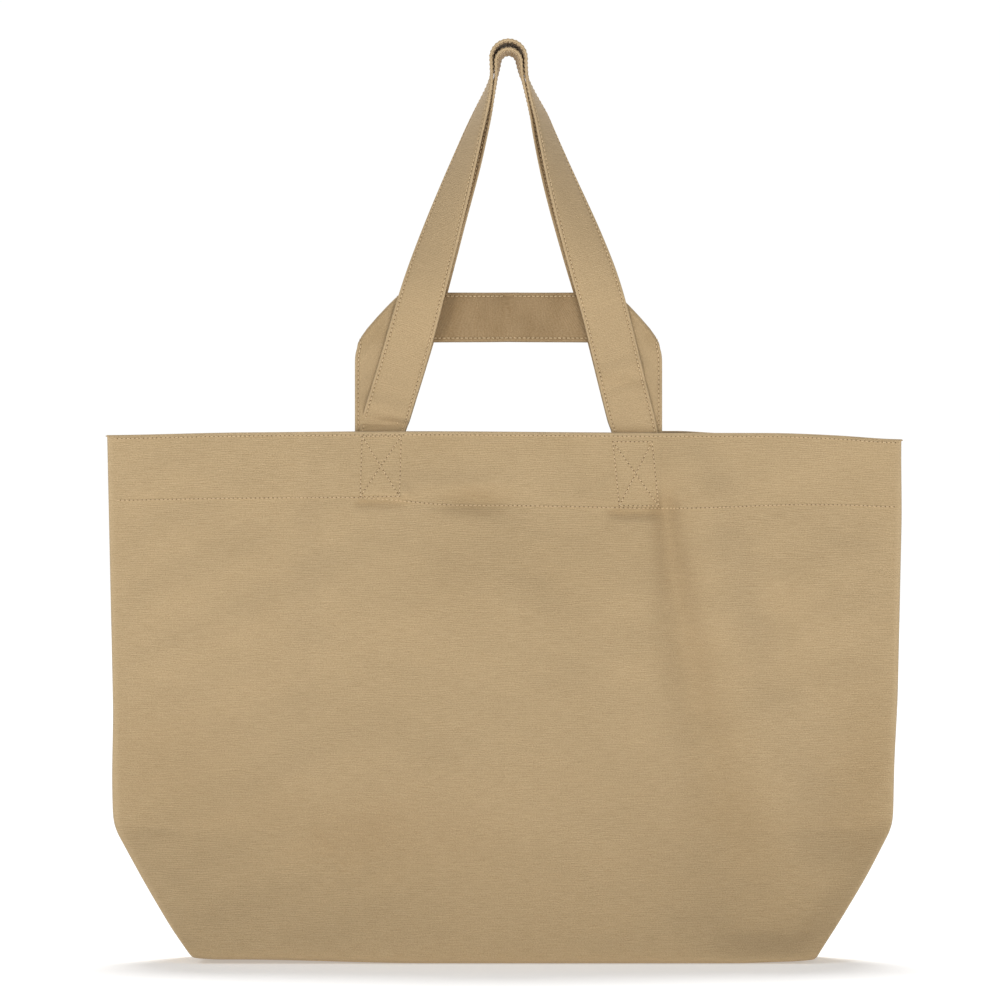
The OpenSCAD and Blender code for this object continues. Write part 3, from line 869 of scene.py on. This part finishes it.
def hem_cloth(name, side):
    """The turned hem inside the rim, with its own folded lower edge."""
    s = sizes()
    reach = s.rim_w / 2 - s.seam_w - 5 * MM
    x = np.linspace(-reach, reach, 190)
    z = RIM_H - 1.3 * MM
    depth = 1.65 * MM
    fold = s.hem_h - np.array([2.2, 1.2, 0.5, 0]) * MM
    down = np.concatenate([np.linspace(0, s.hem_h - 3 * MM, 16), fold])
    outer = [(d, depth - 0.5 * MM) for d in down]
    outer += [(s.hem_h + 0.45 * MM, depth + 0.1 * MM), (s.hem_h + 0.3 * MM, depth + 1.0 * MM)]
    puffed = 0.5 + 0.75 * smooth((down[::-1] - s.hem_h + 12 * MM) / (9 * MM))
    ring = outer + list(zip(down[::-1], depth + puffed * MM))
    points, faces = tube(np.stack([on_wall(side, x, z - d, q) for d, q in ring], 1))
    drop = np.array([d for d, _ in ring])
    flat = np.stack([np.repeat(x, len(ring)), np.tile(-drop, len(x))], -1)
    flat = np.concatenate([flat, [[-reach, 0], [reach, 0]]])
    wear = np.append(np.tile(smooth(1 - (s.hem_h - drop) / (1.5 * MM)), len(x)), [0, 0])
    return facing_out(make_piece(name, points, faces, flat, wear))


class TOTE_OT_hems(bpy.types.Operator):
    """Make the turned hems inside the rim"""

    bl_idname = "tote.hems"
    bl_label = "Hems"

    def execute(self, context):
        for word, side in SIDES.items():
            hem = hem_cloth(word + "_hem_cloth", side)
            finish_piece(hem, "Lining canvas", "body_canvas", "bag", word + "_hem")
        return {"FINISHED"}


def bound_edge(path, out, gap):
    """Overcast thread that binds a raw edge: a wave of thread running over it."""
    run = run_of(path)
    d = np.linspace(0, run[-1], int(run[-1] / (0.55 * MM)))
    place = along_path(path, run, d)
    ahead = unit(np.gradient(place, axis=0))
    out = np.broadcast_to(out, place.shape)
    side = unit(np.cross(ahead, out))
    turn = d / (2.6 * MM) * 2 * math.pi
    centre = place + out * (gap * 0.9 * np.cos(turn)[:, None]) + side * (0.95 * MM * np.sin(turn)[:, None])
    ring = np.arange(5) * 2 * math.pi / 5
    section = np.stack([np.cos(ring), np.sin(ring)], -1) * 0.22 * MM
    tangent = unit(np.gradient(centre, axis=0))
    a = unit(np.cross(tangent, side + 0.01))
    return sweep(centre, a, unit(np.cross(tangent, a)), section)


def seam_cloth(node, path, across, out, section, round_ends):
    """One seam allowance along its path."""
    across, out = (np.tile(np.asarray(v, float), (len(path), 1)) for v in (across, out))
    piece = facing_out(make_piece(node + "_cloth", *sweep(path, across, out, section, round_ends)))
    finish_piece(piece, "Lining canvas", "body_canvas", "bag", node)


def seam_binding(node, path, out, gap):
    piece = facing_out(make_piece(node + "_binding", *bound_edge(path, np.array(out, float), gap)))
    finish_piece(piece, "Twisted thread", "thread", "bag")


class TOTE_OT_seams(bpy.types.Operator):
    """Make the seam allowances and their bound edges"""

    bl_idname = "tote.seams"
    bl_label = "Seams"

    def execute(self, context):
        s = sizes()
        for word, end in ENDS.items():
            low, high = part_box(word + "_side_seam")
            z = np.linspace(low.z + 1 * MM, high.z - 0.5 * MM, 110)
            inner = edge_x(z) - 1.6 * MM - np.where(z < s.corner_h, 0.6 * MM, 1.0 * MM)
            x, lift = settled(-1, end * (inner - s.seam_w / 2), z)
            wave = 0.25 * MM * np.sin(z / (17 * MM)) * smooth((z - s.corner_h) / (40 * MM))
            path = np.stack([x, wave, lift], -1)
            section = slab_section(s.seam_w, 1.3 * MM)
            seam_cloth(word + "_side_seam", path, (end, 0, 0), (0, 1, 0), section, 0.4 * MM)
            rim = path - np.array([end, 0.0, 0.0]) * (s.seam_w / 2 - 0.4 * MM)
            seam_binding(word + "_side_seam", rim, (0, 1, 0), 0.95 * MM)
            low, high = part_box(word + "_corner_seam")
            y = np.linspace(low.y + 3 * MM, high.y - 3 * MM, 40)
            place = np.full(len(y), (low.x + high.x) / 2)
            up = settled(-1, place, np.zeros(len(y)))[1] + (low.z + high.z) / 2
            path = np.stack([place, y, up], -1)
            section = slab_section(high.x - low.x, high.z - low.z)
            seam_cloth(word + "_corner_seam", path, (1, 0, 0), (0, 0, 1), section, 0.3 * MM)
        low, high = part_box("bottom_seam")
        x = np.linspace(low.x, high.x, 150)
        up = settled(-1, x, np.zeros(len(x)))[1] + (low.z + high.z) / 2 + 0.1 * MM * np.sin(x / (23 * MM))
        path = np.stack([x, np.full(len(x), (low.y + high.y) / 2), up], -1)
        section = slab_section(high.y - low.y, high.z - low.z)
        seam_cloth("bottom_seam", path, (0, 1, 0), (0, 0, 1), section, 0.3 * MM)
        rim = path + np.array([0, (high.y - low.y) / 2 - 0.4 * MM, 0])
        seam_binding("bottom_seam", rim, (0, 0, 1), 0.8 * MM)
        return {"FINISHED"}


# Handles

def anchor_depth():
    """How far from the middle plane the wall stands where the straps leave the rim."""
    return float(wall_y(np.array(sizes().anchor_x), np.array(RIM_H)))


def long_stations(side):
    """Middle line, across and out directions of a long handle, from its right end to its left."""
    s = sizes()
    loop, lift, flare = 11.4 * MM, 0.4 * MM, 16 * MM
    outer = loop - s.strap_t / 2
    anchor = anchor_depth()
    top_h = STRAP_TOP - RIM_H - s.strap_t / 2
    y_low = anchor - LONG_BACK - s.strap_t / 2
    radius, start = outer, 92.5 * MM
    if side > 0:
        radius, start = outer - s.strap_t - 1.2 * MM, 91 * MM + 0.22 * s.strap_w
        top_h -= s.strap_t + 3.2 * MM
    knee, pull, knee_pull = STRAP_TOP - RIM_H - 20.7 * MM, 104.6 * MM, 31.1 * MM
    lean = math.radians(16)
    t = np.linspace(0, 1, 170)[:, None]
    p0 = np.array([s.anchor_x, RIM_H + lift])
    p1 = p0 + pull * np.array([-math.sin(lean), math.cos(lean)])
    p3 = np.array([radius, RIM_H + knee])
    p2 = p3 - np.array([0, knee_pull])
    leg = (1 - t) ** 3 * p0 + 3 * (1 - t) ** 2 * t * p1 + 3 * (1 - t) * t * t * p2 + t ** 3 * p3
    centre = np.array([0, RIM_H + top_h - radius])
    rise = np.linspace(leg[-1, 1], centre[1], 6)[1:, None]
    straight = np.concatenate([np.full((5, 1), radius), rise], 1)
    turn = np.linspace(0, math.pi / 2, 14)[1:]
    arc = centre + radius * np.stack([np.cos(turn), np.sin(turn)], -1)
    half = np.concatenate([leg, straight, arc])
    line = np.concatenate([half, half[-2::-1] * np.array([-1, 1])])
    ahead = unit(np.gradient(line, axis=0))
    ahead[0], ahead[-1] = (0, 1), (0, -1)
    h = line[:, 1] - RIM_H
    square = smooth((h - lift) / flare)[:, None]
    outward = np.stack([np.where(line[:, 0] > 0, 1.0, -1.0), np.zeros(len(line))], -1)
    across = unit(np.stack([ahead[:, 1], -ahead[:, 0]], -1) * square + outward * (1 - square))
    finish = top_h - radius
    left = line[:, 0] < 0
    begin = np.where(left, start - 30 * MM, start - 6 * MM)
    u = np.clip((h - begin) / (finish - begin), 0, 1)
    angle = np.radians(90) * u * np.where(left, 1.05 - 0.05 * u, 1.3 - 0.3 * u)
    angle += np.radians(5) * smooth((h - 205 * MM) / (34 * MM))
    wide = np.stack([across[:, 0] * np.cos(angle), np.sin(angle), across[:, 1] * np.cos(angle)], -1)
    y = side * y_low * (1 - smooth((h - start) / (finish - start)))
    y += side * np.where(left, 4.4, 1.2) * MM * bell((h - 92 * MM) / (27 * MM))
    H = h / MM
    left_sway = -4.4 * smooth((H - 30) / 120) * smooth((250 - H) / 60)
    right_sway = 6.1 * smooth(H / 110) * smooth((248 - H) / 45)
    x = line[:, 0] + np.where(left, left_sway, right_sway) * MM
    if side > 0:
        x = x + np.sign(x) * 0.95 * MM * bell((H - 222) / 17)
    path = np.stack([x + s.strap_shift, y, line[:, 1]], -1)
    return path, wide, unit(np.cross(np.stack([ahead[:, 0], np.zeros(len(h)), ahead[:, 1]], -1), wide))


def ringed_strap(name, rings, section, runs):
    """A strap given as rings of places, each at its distance along the strap."""
    points, faces = tube(rings)
    flat = np.stack([np.tile(section[:, 0], len(runs)), np.repeat(runs, len(section))], -1)
    flat = np.concatenate([flat, [[0, runs[0]], [0, runs[-1]]]])
    return facing_out(make_piece(name, points, faces, flat, strap_wear(section, points)))


def slack(path, out, side):
    """Small sways and creases that a soft strap takes."""
    h = (path[:, 2] - RIM_H) / MM
    run = np.cumsum(np.linalg.norm(np.diff(path, axis=0, prepend=path[:1]), axis=1)) / MM
    calm = smooth((h - 4) / 26) * smooth((232 - h) / 20)
    sway = 0.5 * np.sin(run / 27 + side) + 0.3 * np.sin(run / 13 + 1.3)
    left = path[:, 0] < 0
    left_dent = 3.4 * bell((h - 7) / 3.6) - 1.6 * bell((h - 16) / 6)
    right_dent = 0.9 * bell((h - 32) / 3.5) - 0.9 * bell((h - 41) / 5)
    dent = np.where(left, left_dent, right_dent)
    front = np.sign(out[:, 1]) * side
    return path + out * ((sway * calm * 0.6 - dent * front) * MM)[:, None]


class TOTE_OT_long_handles(bpy.types.Operator):
    """Make the two shoulder handles with their stitching"""

    bl_idname = "tote.long_handles"
    bl_label = "Long handles"

    def execute(self, context):
        s = sizes()
        section = strap_section(s.strap_w, s.strap_t)
        for word, side in SIDES.items():
            path, wide, out = long_stations(side)
            path = slack(path, out, side)
            below = np.array([[0, 0, 2.2 * MM]])
            full = np.concatenate([path[:1] - below, path, path[-1:] - below])
            wide_all, out_all = (np.concatenate([v[:1], v, v[-1:]]) for v in (wide, out))
            points, faces, flat = sweep(full, wide_all, out_all, section, 0.3 * MM)
            name = word + "_long_handle"
            wear = strap_wear(section, points)
            piece = facing_out(make_piece(name + "_strap", points, faces, flat, wear))
            # Painted shade in the creases where each long strap bends just above the rim.
            X, H = points[:, 0] / MM, (points[:, 2] - RIM_H) / MM
            crease_shade = 1.1 * bell((H - 6 - 0.14 * (X + 84)) / 2.6) * smooth((-X - 66) / 10)
            crease_shade = crease_shade + 0.8 * bell((H - 1) / 3.2) + 0.5 * bell((H - 33 + 0.2 * (X - 84)) / 2.6) * (X > 0)
            mark_painted_shade(piece, crease_shade)
            finish_piece(piece, "Strap canvas", "strap_canvas", None, name)
            rows = []
            for edge in (-1, 1):
                for face in (-1, 1):
                    row = path + wide * edge * (s.strap_w / 2 - EDGE_ROW)
                    rows.append((row + out * face * (s.strap_t / 2 - ROW_SINK), out * face))
            thread = stitches(name + "_thread", rows, 0.0, 31 + side)
            finish_piece(thread, "Twisted thread", "thread", None, name + "_stitch")
            for part in (piece, thread):
                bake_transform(part)
        return {"FINISHED"}


def folded_strap(side):
    """Places on a short handle's strap, from its right leg over the mitred fold to mid bar."""
    s = sizes()
    half = s.strap_w / 2
    out_x, top = s.anchor_x + half + 1 * MM, 91 * MM
    low_corner = top - s.strap_w - 4 * MM
    inner = out_x - s.strap_w
    turned = 2 * math.atan2(top - low_corner, s.strap_w) - math.pi / 2
    corner = np.array([out_x, low_corner])
    along = unit(np.array([inner - out_x, top - low_corner]))
    normal = np.array([along[1], -along[0]])
    if normal[1] < 0:
        normal = -normal
    depth = anchor_depth() - SHORT_BACK - s.strap_t / 2
    gap = s.strap_t + 0.3 * MM

    def place(t, run):
        """t lies across the strap from its inner edge, run is the distance up the strap from the rim."""
        x = inner + half + t
        beyond = (x - corner[0]) * normal[0] + (run - corner[1]) * normal[1]
        radius = gap / 2
        arc = math.pi * radius
        angle = np.clip((beyond + arc / 2) / radius, 0, math.pi)
        flat_on = np.minimum(beyond, -arc / 2)
        past = np.maximum(beyond - arc / 2, 0)
        away = flat_on + arc / 2 + radius * np.sin(angle) - past
        base_x, base_z = x - beyond * normal[0], run - beyond * normal[1]
        px = base_x + away * normal[0]
        pz = base_z + away * normal[1]
        edge = corner[0] + (pz - corner[1]) * (inner - out_x) / (top - low_corner)
        pz = pz - math.tan(turned) * smooth(angle / math.pi) * np.maximum(edge - px, 0)
        back = radius * (1 - np.cos(angle))
        out = np.stack([normal[0] * np.sin(angle), side * np.cos(angle), normal[1] * np.sin(angle)], -1)
        y = side * (depth - back)
        return np.stack([px, np.broadcast_to(y, np.shape(px)), pz + RIM_H], -1), out

    return place, low_corner, inner, half


def short_strap(side):
    s = sizes()
    place, low_corner, inner, half = folded_strap(side)
    section = strap_section(s.strap_w, s.strap_t)
    length = low_corner + 17 * MM + (inner + half) / 0.992
    fold = low_corner + half + 2 * MM
    run = np.concatenate([
        np.arange(-1.5, (fold / MM) - 7, 2.2) * MM, fold + np.arange(-6.5, 6.6, 0.55) * MM,
        np.arange(fold / MM + 8, length / MM - 0.5, 2.2) * MM, [length],
    ])
    T, R = np.meshgrid(section[:, 0], run, indexing="xy")
    steep = (s.strap_w + 4 * MM) / s.strap_w
    slant = np.where(R < fold, smooth((R - 8 * MM) / (50 * MM)), smooth((length - R) / (60 * MM)))
    R = R - slant * T * steep
    middle, out = place(T, R)
    points = middle + out * section[None, :, 1, None]
    puff = 0.35 * MM * bell((R - low_corner - half) / (9 * MM))
    points = points + out * (puff * np.sign(section[None, :, 1]))[..., None] * 0.4
    return points, R, length, place


def soft_bar(points, side):
    """The slack of a hand loop: soft creases along its bar and rounded outer corners."""
    x, y, z = (points[..., k] / MM for k in range(3))
    h, away = z - RIM_H / MM, np.abs(x - sizes().strap_shift / MM)
    on_bar = smooth((h - 46) / 22) * smooth((86 - away) / 20)
    y = y + side * on_bar * (0.55 * np.sin(x / 13 + h / 9) + 0.35 * np.sin(x / 6.2 - h / 7 + 1))
    z = z - on_bar * (0.045 * np.maximum(h - 60, 0) + 0.6 * smooth(1 - away / 60))
    x = x - np.sign(x) * 1.7 * bell((h - 58) / 5.5) * smooth((away - 84) / 14)
    return np.stack([x, y, z], -1) * MM


class TOTE_OT_short_handles(bpy.types.Operator):
    """Make the two hand loops with their folded corners"""

    bl_idname = "tote.short_handles"
    bl_label = "Short handles"

    def execute(self, context):
        s = sizes()
        section = strap_section(s.strap_w, s.strap_t)
        mirror = np.array([-1, 1, 1])
        for word, side in SIDES.items():
            points, R, length, place = short_strap(side)
            every = np.concatenate([points, points[::-1][1:] * mirror])
            every[..., 0] += s.strap_shift
            every = soft_bar(every, side)
            runs = np.concatenate([R[:, 0], 2 * length - R[::-1, 0][1:]])
            name = word + "_short_handle"
            piece = ringed_strap(name + "_strap", every, section, runs)
            # Painted shade: mottled darkening over the bar of each hand loop, stronger towards its outer
            # corners.
            X, H = every[..., 0].ravel() / MM, (every[..., 2].ravel() - RIM_H) / MM
            bar_shade = 0.35 + 1.6 * ripple(X, H, 41, 24)
            bar_shade = bar_shade + 0.4 * smooth((np.abs(X - s.strap_shift / MM) - 40) / 12)
            mark_painted_shade(piece, np.append(smooth((H - 50) / 10) * bar_shade, [0, 0]))
            finish_piece(piece, "Strap canvas", "strap_canvas", None, name)
            # Painted shade: the bar takes the darker hand loop canvas, while the legs keep the strap
            # canvas.
            piece.data.materials.append(bpy.data.materials["Shaded hand loop canvas"])
            for face in piece.data.polygons:
                away, up = abs(face.center.x - s.strap_shift), face.center.z - RIM_H
                face.material_index = int(away < 69 * MM and up > 50 * MM)
            threads = []
            run = np.linspace(1 * MM, length, 160)
            for edge in (-1, 1):
                t = np.full(len(run), edge * (s.strap_w / 2 - EDGE_ROW))
                middle, out = place(t, run)
                for face in (-1, 1):
                    row = middle + out * face * (s.strap_t / 2 - ROW_SINK)
                    for half in (np.ones(3), mirror):
                        line = row * half + np.array([s.strap_shift, 0, 0])
                        threads.append((soft_bar(line, side), out * face * half))
            thread = stitches(name + "_thread", threads, 0.15, 41 + side)
            finish_piece(thread, "Twisted thread", "thread", None, name + "_stitch")
            for part in (piece, thread):
                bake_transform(part)
        return {"FINISHED"}


class TOTE_OT_tails(bpy.types.Operator):
    """Make the strap ends sewn inside the rim"""

    bl_idname = "tote.tails"
    bl_label = "Strap ends"

    def execute(self, context):
        s = sizes()
        section = strap_section(s.strap_w, s.strap_t)
        for word, side in SIDES.items():
            for end_word, end in ENDS.items():
                for kind, back in (("long", LONG_BACK), ("short", SHORT_BACK)):
                    node = f"{word}_{end_word}_{kind}_tail"
                    z = np.linspace(RIM_H - s.tail_len - 4 * MM, RIM_H + 0.2 * MM, 36)
                    x = end * s.anchor_x + s.strap_shift + section[None, :, 0]
                    rings = on_wall(side, x, z[:, None], back + s.strap_t / 2)
                    rings = rings + np.array([0, 1, 0]) * (side * section[None, :, 1, None])
                    piece = ringed_strap(node + "_cloth", rings, section, z)
                    finish_piece(piece, "Strap canvas", "strap_canvas", "bag", node)
        return {"FINISHED"}


# Stitching on the body

def wall_row(side, places, depth, face):
    """A row on a panel through places (x, z), with the direction it shows in."""
    places = np.array(places, float)
    run = run_of(places)
    steps = np.linspace(0, run[-1], max(2, int(run[-1] / (1.2 * MM))))
    x, z = (np.interp(steps, run, places[:, k]) for k in range(2))
    path, near = on_wall(side, x, z, depth), 0.8 * MM
    a = on_wall(side, x + near, z, depth) - on_wall(side, x - near, z, depth)
    b = on_wall(side, x, z + near, depth) - on_wall(side, x, z - near, depth)
    normal = unit(np.cross(a, b)) * -1
    return path, normal * np.sign(normal[:, 1:2]) * side * face


class TOTE_OT_stitching(bpy.types.Operator):
    """Sew the hem, the rim and the crossed boxes"""

    bl_idname = "tote.stitching"
    bl_label = "Stitching"

    def execute(self, context):
        s = sizes()
        wander = np.linspace(-1, 1, 160)
        for word, side in SIDES.items():
            levels = {"hem": hem_level, "rim": lambda x: np.full(len(x), RIM_H - 2.4 * MM)}
            for kind, short_by, inside in (("hem", 6 * MM, 2.75 * MM), ("rim", 4 * MM, 2.15 * MM)):
                rows = []
                for less, depth, face in ((short_by, WALL_ROW, 1), (17 * MM, inside, -1)):
                    x = wander * (s.rim_w / 2 - less)
                    rows.append(wall_row(side, np.stack([x, levels[kind](x)], -1), depth, face))
                piece = stitches(f"{word}_{kind}_thread", rows, 0.05, 51 + side)
                finish_piece(piece, "Twisted thread", "thread", "bag", f"{word}_{kind}_stitch")
            for end_word, end in ENDS.items():
                place = end * s.anchor_x + s.strap_shift
                left, right = place - s.box_w / 2, place + s.box_w / 2
                low, high, lean, back = (42.4, 3.2, -1.1, 0) if end < 0 else (47.6, 6, 2.3, 1.9)
                low, high, lean, back = RIM_H - low * MM, RIM_H - high * MM, lean * MM, back * MM
                a, b = (left + lean, low), (right + lean, low)
                c, d = (right - back, high), (left - back, high)
                lines = [[a, b], [b, c], [c, d], [d, a], [a, c], [b, d]]
                rows = [wall_row(side, line, WALL_ROW, 1) for line in lines]
                rows += [wall_row(side, line, SHORT_BACK + s.strap_t, -1) for line in lines]
                piece = stitches(f"{word}_{end_word}_box_thread", rows, 0.1, 61 + side + end)
                finish_piece(piece, "Twisted thread", "thread", "bag", f"{word}_{end_word}_box_stitch")
        return {"FINISHED"}


class TOTE_OT_stage(bpy.types.Operator):
    """Set the floor, the lights and the camera"""

    bl_idname = "tote.stage"
    bl_label = "Stage"

    def execute(self, context):
        scene = context.scene
        bpy.ops.mesh.primitive_plane_add(size=30, location=(0, 0, -0.2 * MM))
        floor = context.object
        floor.name = "studio_floor"
        tree, shader = new_finish("Pale floor")
        looks = {
            "Base Color": (0.93, 0.93, 0.93), "Roughness": 1, "Specular IOR Level": 0,
            "Emission Color": (1, 1, 1), "Emission Strength": 0.3,
        }
        for label, value in looks.items():
            feed(tree, shader.inputs[label], value)
        floor.data.materials.append(bpy.data.materials["Pale floor"])
        world = bpy.data.worlds.new("Studio")
        scene.world = world
        world.use_nodes = True
        sky = world.node_tree
        sky.nodes["Background"].inputs[0].default_value = (1, 1, 1, 1)
        seen = sky.nodes.new("ShaderNodeLightPath")
        level = maths(sky, "MULTIPLY_ADD", seen.outputs["Is Camera Ray"], 0.76, 0.26)
        sky.links.new(level, sky.nodes["Background"].inputs[1])
        sun = bpy.data.lights.new("overhead_light", "SUN")
        sun.energy = 2.35
        sun.angle = math.radians(28)
        lamp = bpy.data.objects.new("overhead_light", sun)
        lamp.rotation_euler = (math.radians(-33), 0, 0)
        scene.collection.objects.link(lamp)
        lamps = (("key_light", (-2.3, -4.0, 2.0), 1.0, 66), ("fill_light", (1.8, -3.9, 0.3), 1.6, 62))
        for name, place, size, power in lamps:
            light = bpy.data.lights.new(name, "AREA")
            light.size = size
            light.energy = power
            lamp = bpy.data.objects.new(name, light)
            lamp.location = place
            aim = -(lamp.location - type(lamp.location)((0, 0, 0.25)))
            lamp.rotation_euler = aim.to_track_quat("-Z", "Y").to_euler()
            scene.collection.objects.link(lamp)
        view = bpy.data.cameras.new("view")
        view.lens = 300
        view.sensor_width = 36
        camera = bpy.data.objects.new("view", view)
        view.clip_end = 60
        camera.location = (-3.25 * MM, PANEL_LOW.y / 2 - 5.418, 300.3 * MM)
        camera.rotation_euler = (math.pi / 2, 0, 0)
        scene.collection.objects.link(camera)
        scene.camera = camera
        scene.view_settings.view_transform = "Standard"
        return {"FINISHED"}


class TOTE_PT_panel(bpy.types.Panel):
    bl_idname = "TOTE_PT_panel"
    bl_label = "Canvas Tote"
    bl_space_type = "VIEW_3D"
    bl_region_type = "UI"
    bl_category = "Tote"

    def draw(self, context):
        for group in (context.scene.tote_sizes, context.scene.tote_colours):
            for name in group.bl_rna.properties.keys():
                if name not in {"rna_type", "name"}:
                    self.layout.prop(group, name)
        for step in STEPS:
            self.layout.operator(step.bl_idname)


STEPS = (
    TOTE_OT_finishes, TOTE_OT_panels, TOTE_OT_hems, TOTE_OT_seams, TOTE_OT_long_handles,
    TOTE_OT_short_handles, TOTE_OT_tails, TOTE_OT_stitching, TOTE_OT_stage,
)
CLASSES = (ToteSizes, ToteColours, *STEPS, TOTE_PT_panel)


def register():
    for kind in CLASSES:
        bpy.utils.register_class(kind)
    bpy.types.Scene.tote_sizes = PointerProperty(type=ToteSizes)
    bpy.types.Scene.tote_colours = PointerProperty(type=ToteColours)


def unregister():
    del bpy.types.Scene.tote_colours
    del bpy.types.Scene.tote_sizes
    for kind in reversed(CLASSES):
        bpy.utils.unregister_class(kind)


def main():
    register()
    for step in STEPS:
        group, name = step.bl_idname.split(".")
        getattr(getattr(bpy.ops, group), name)()


if __name__ == "__main__":
    main()
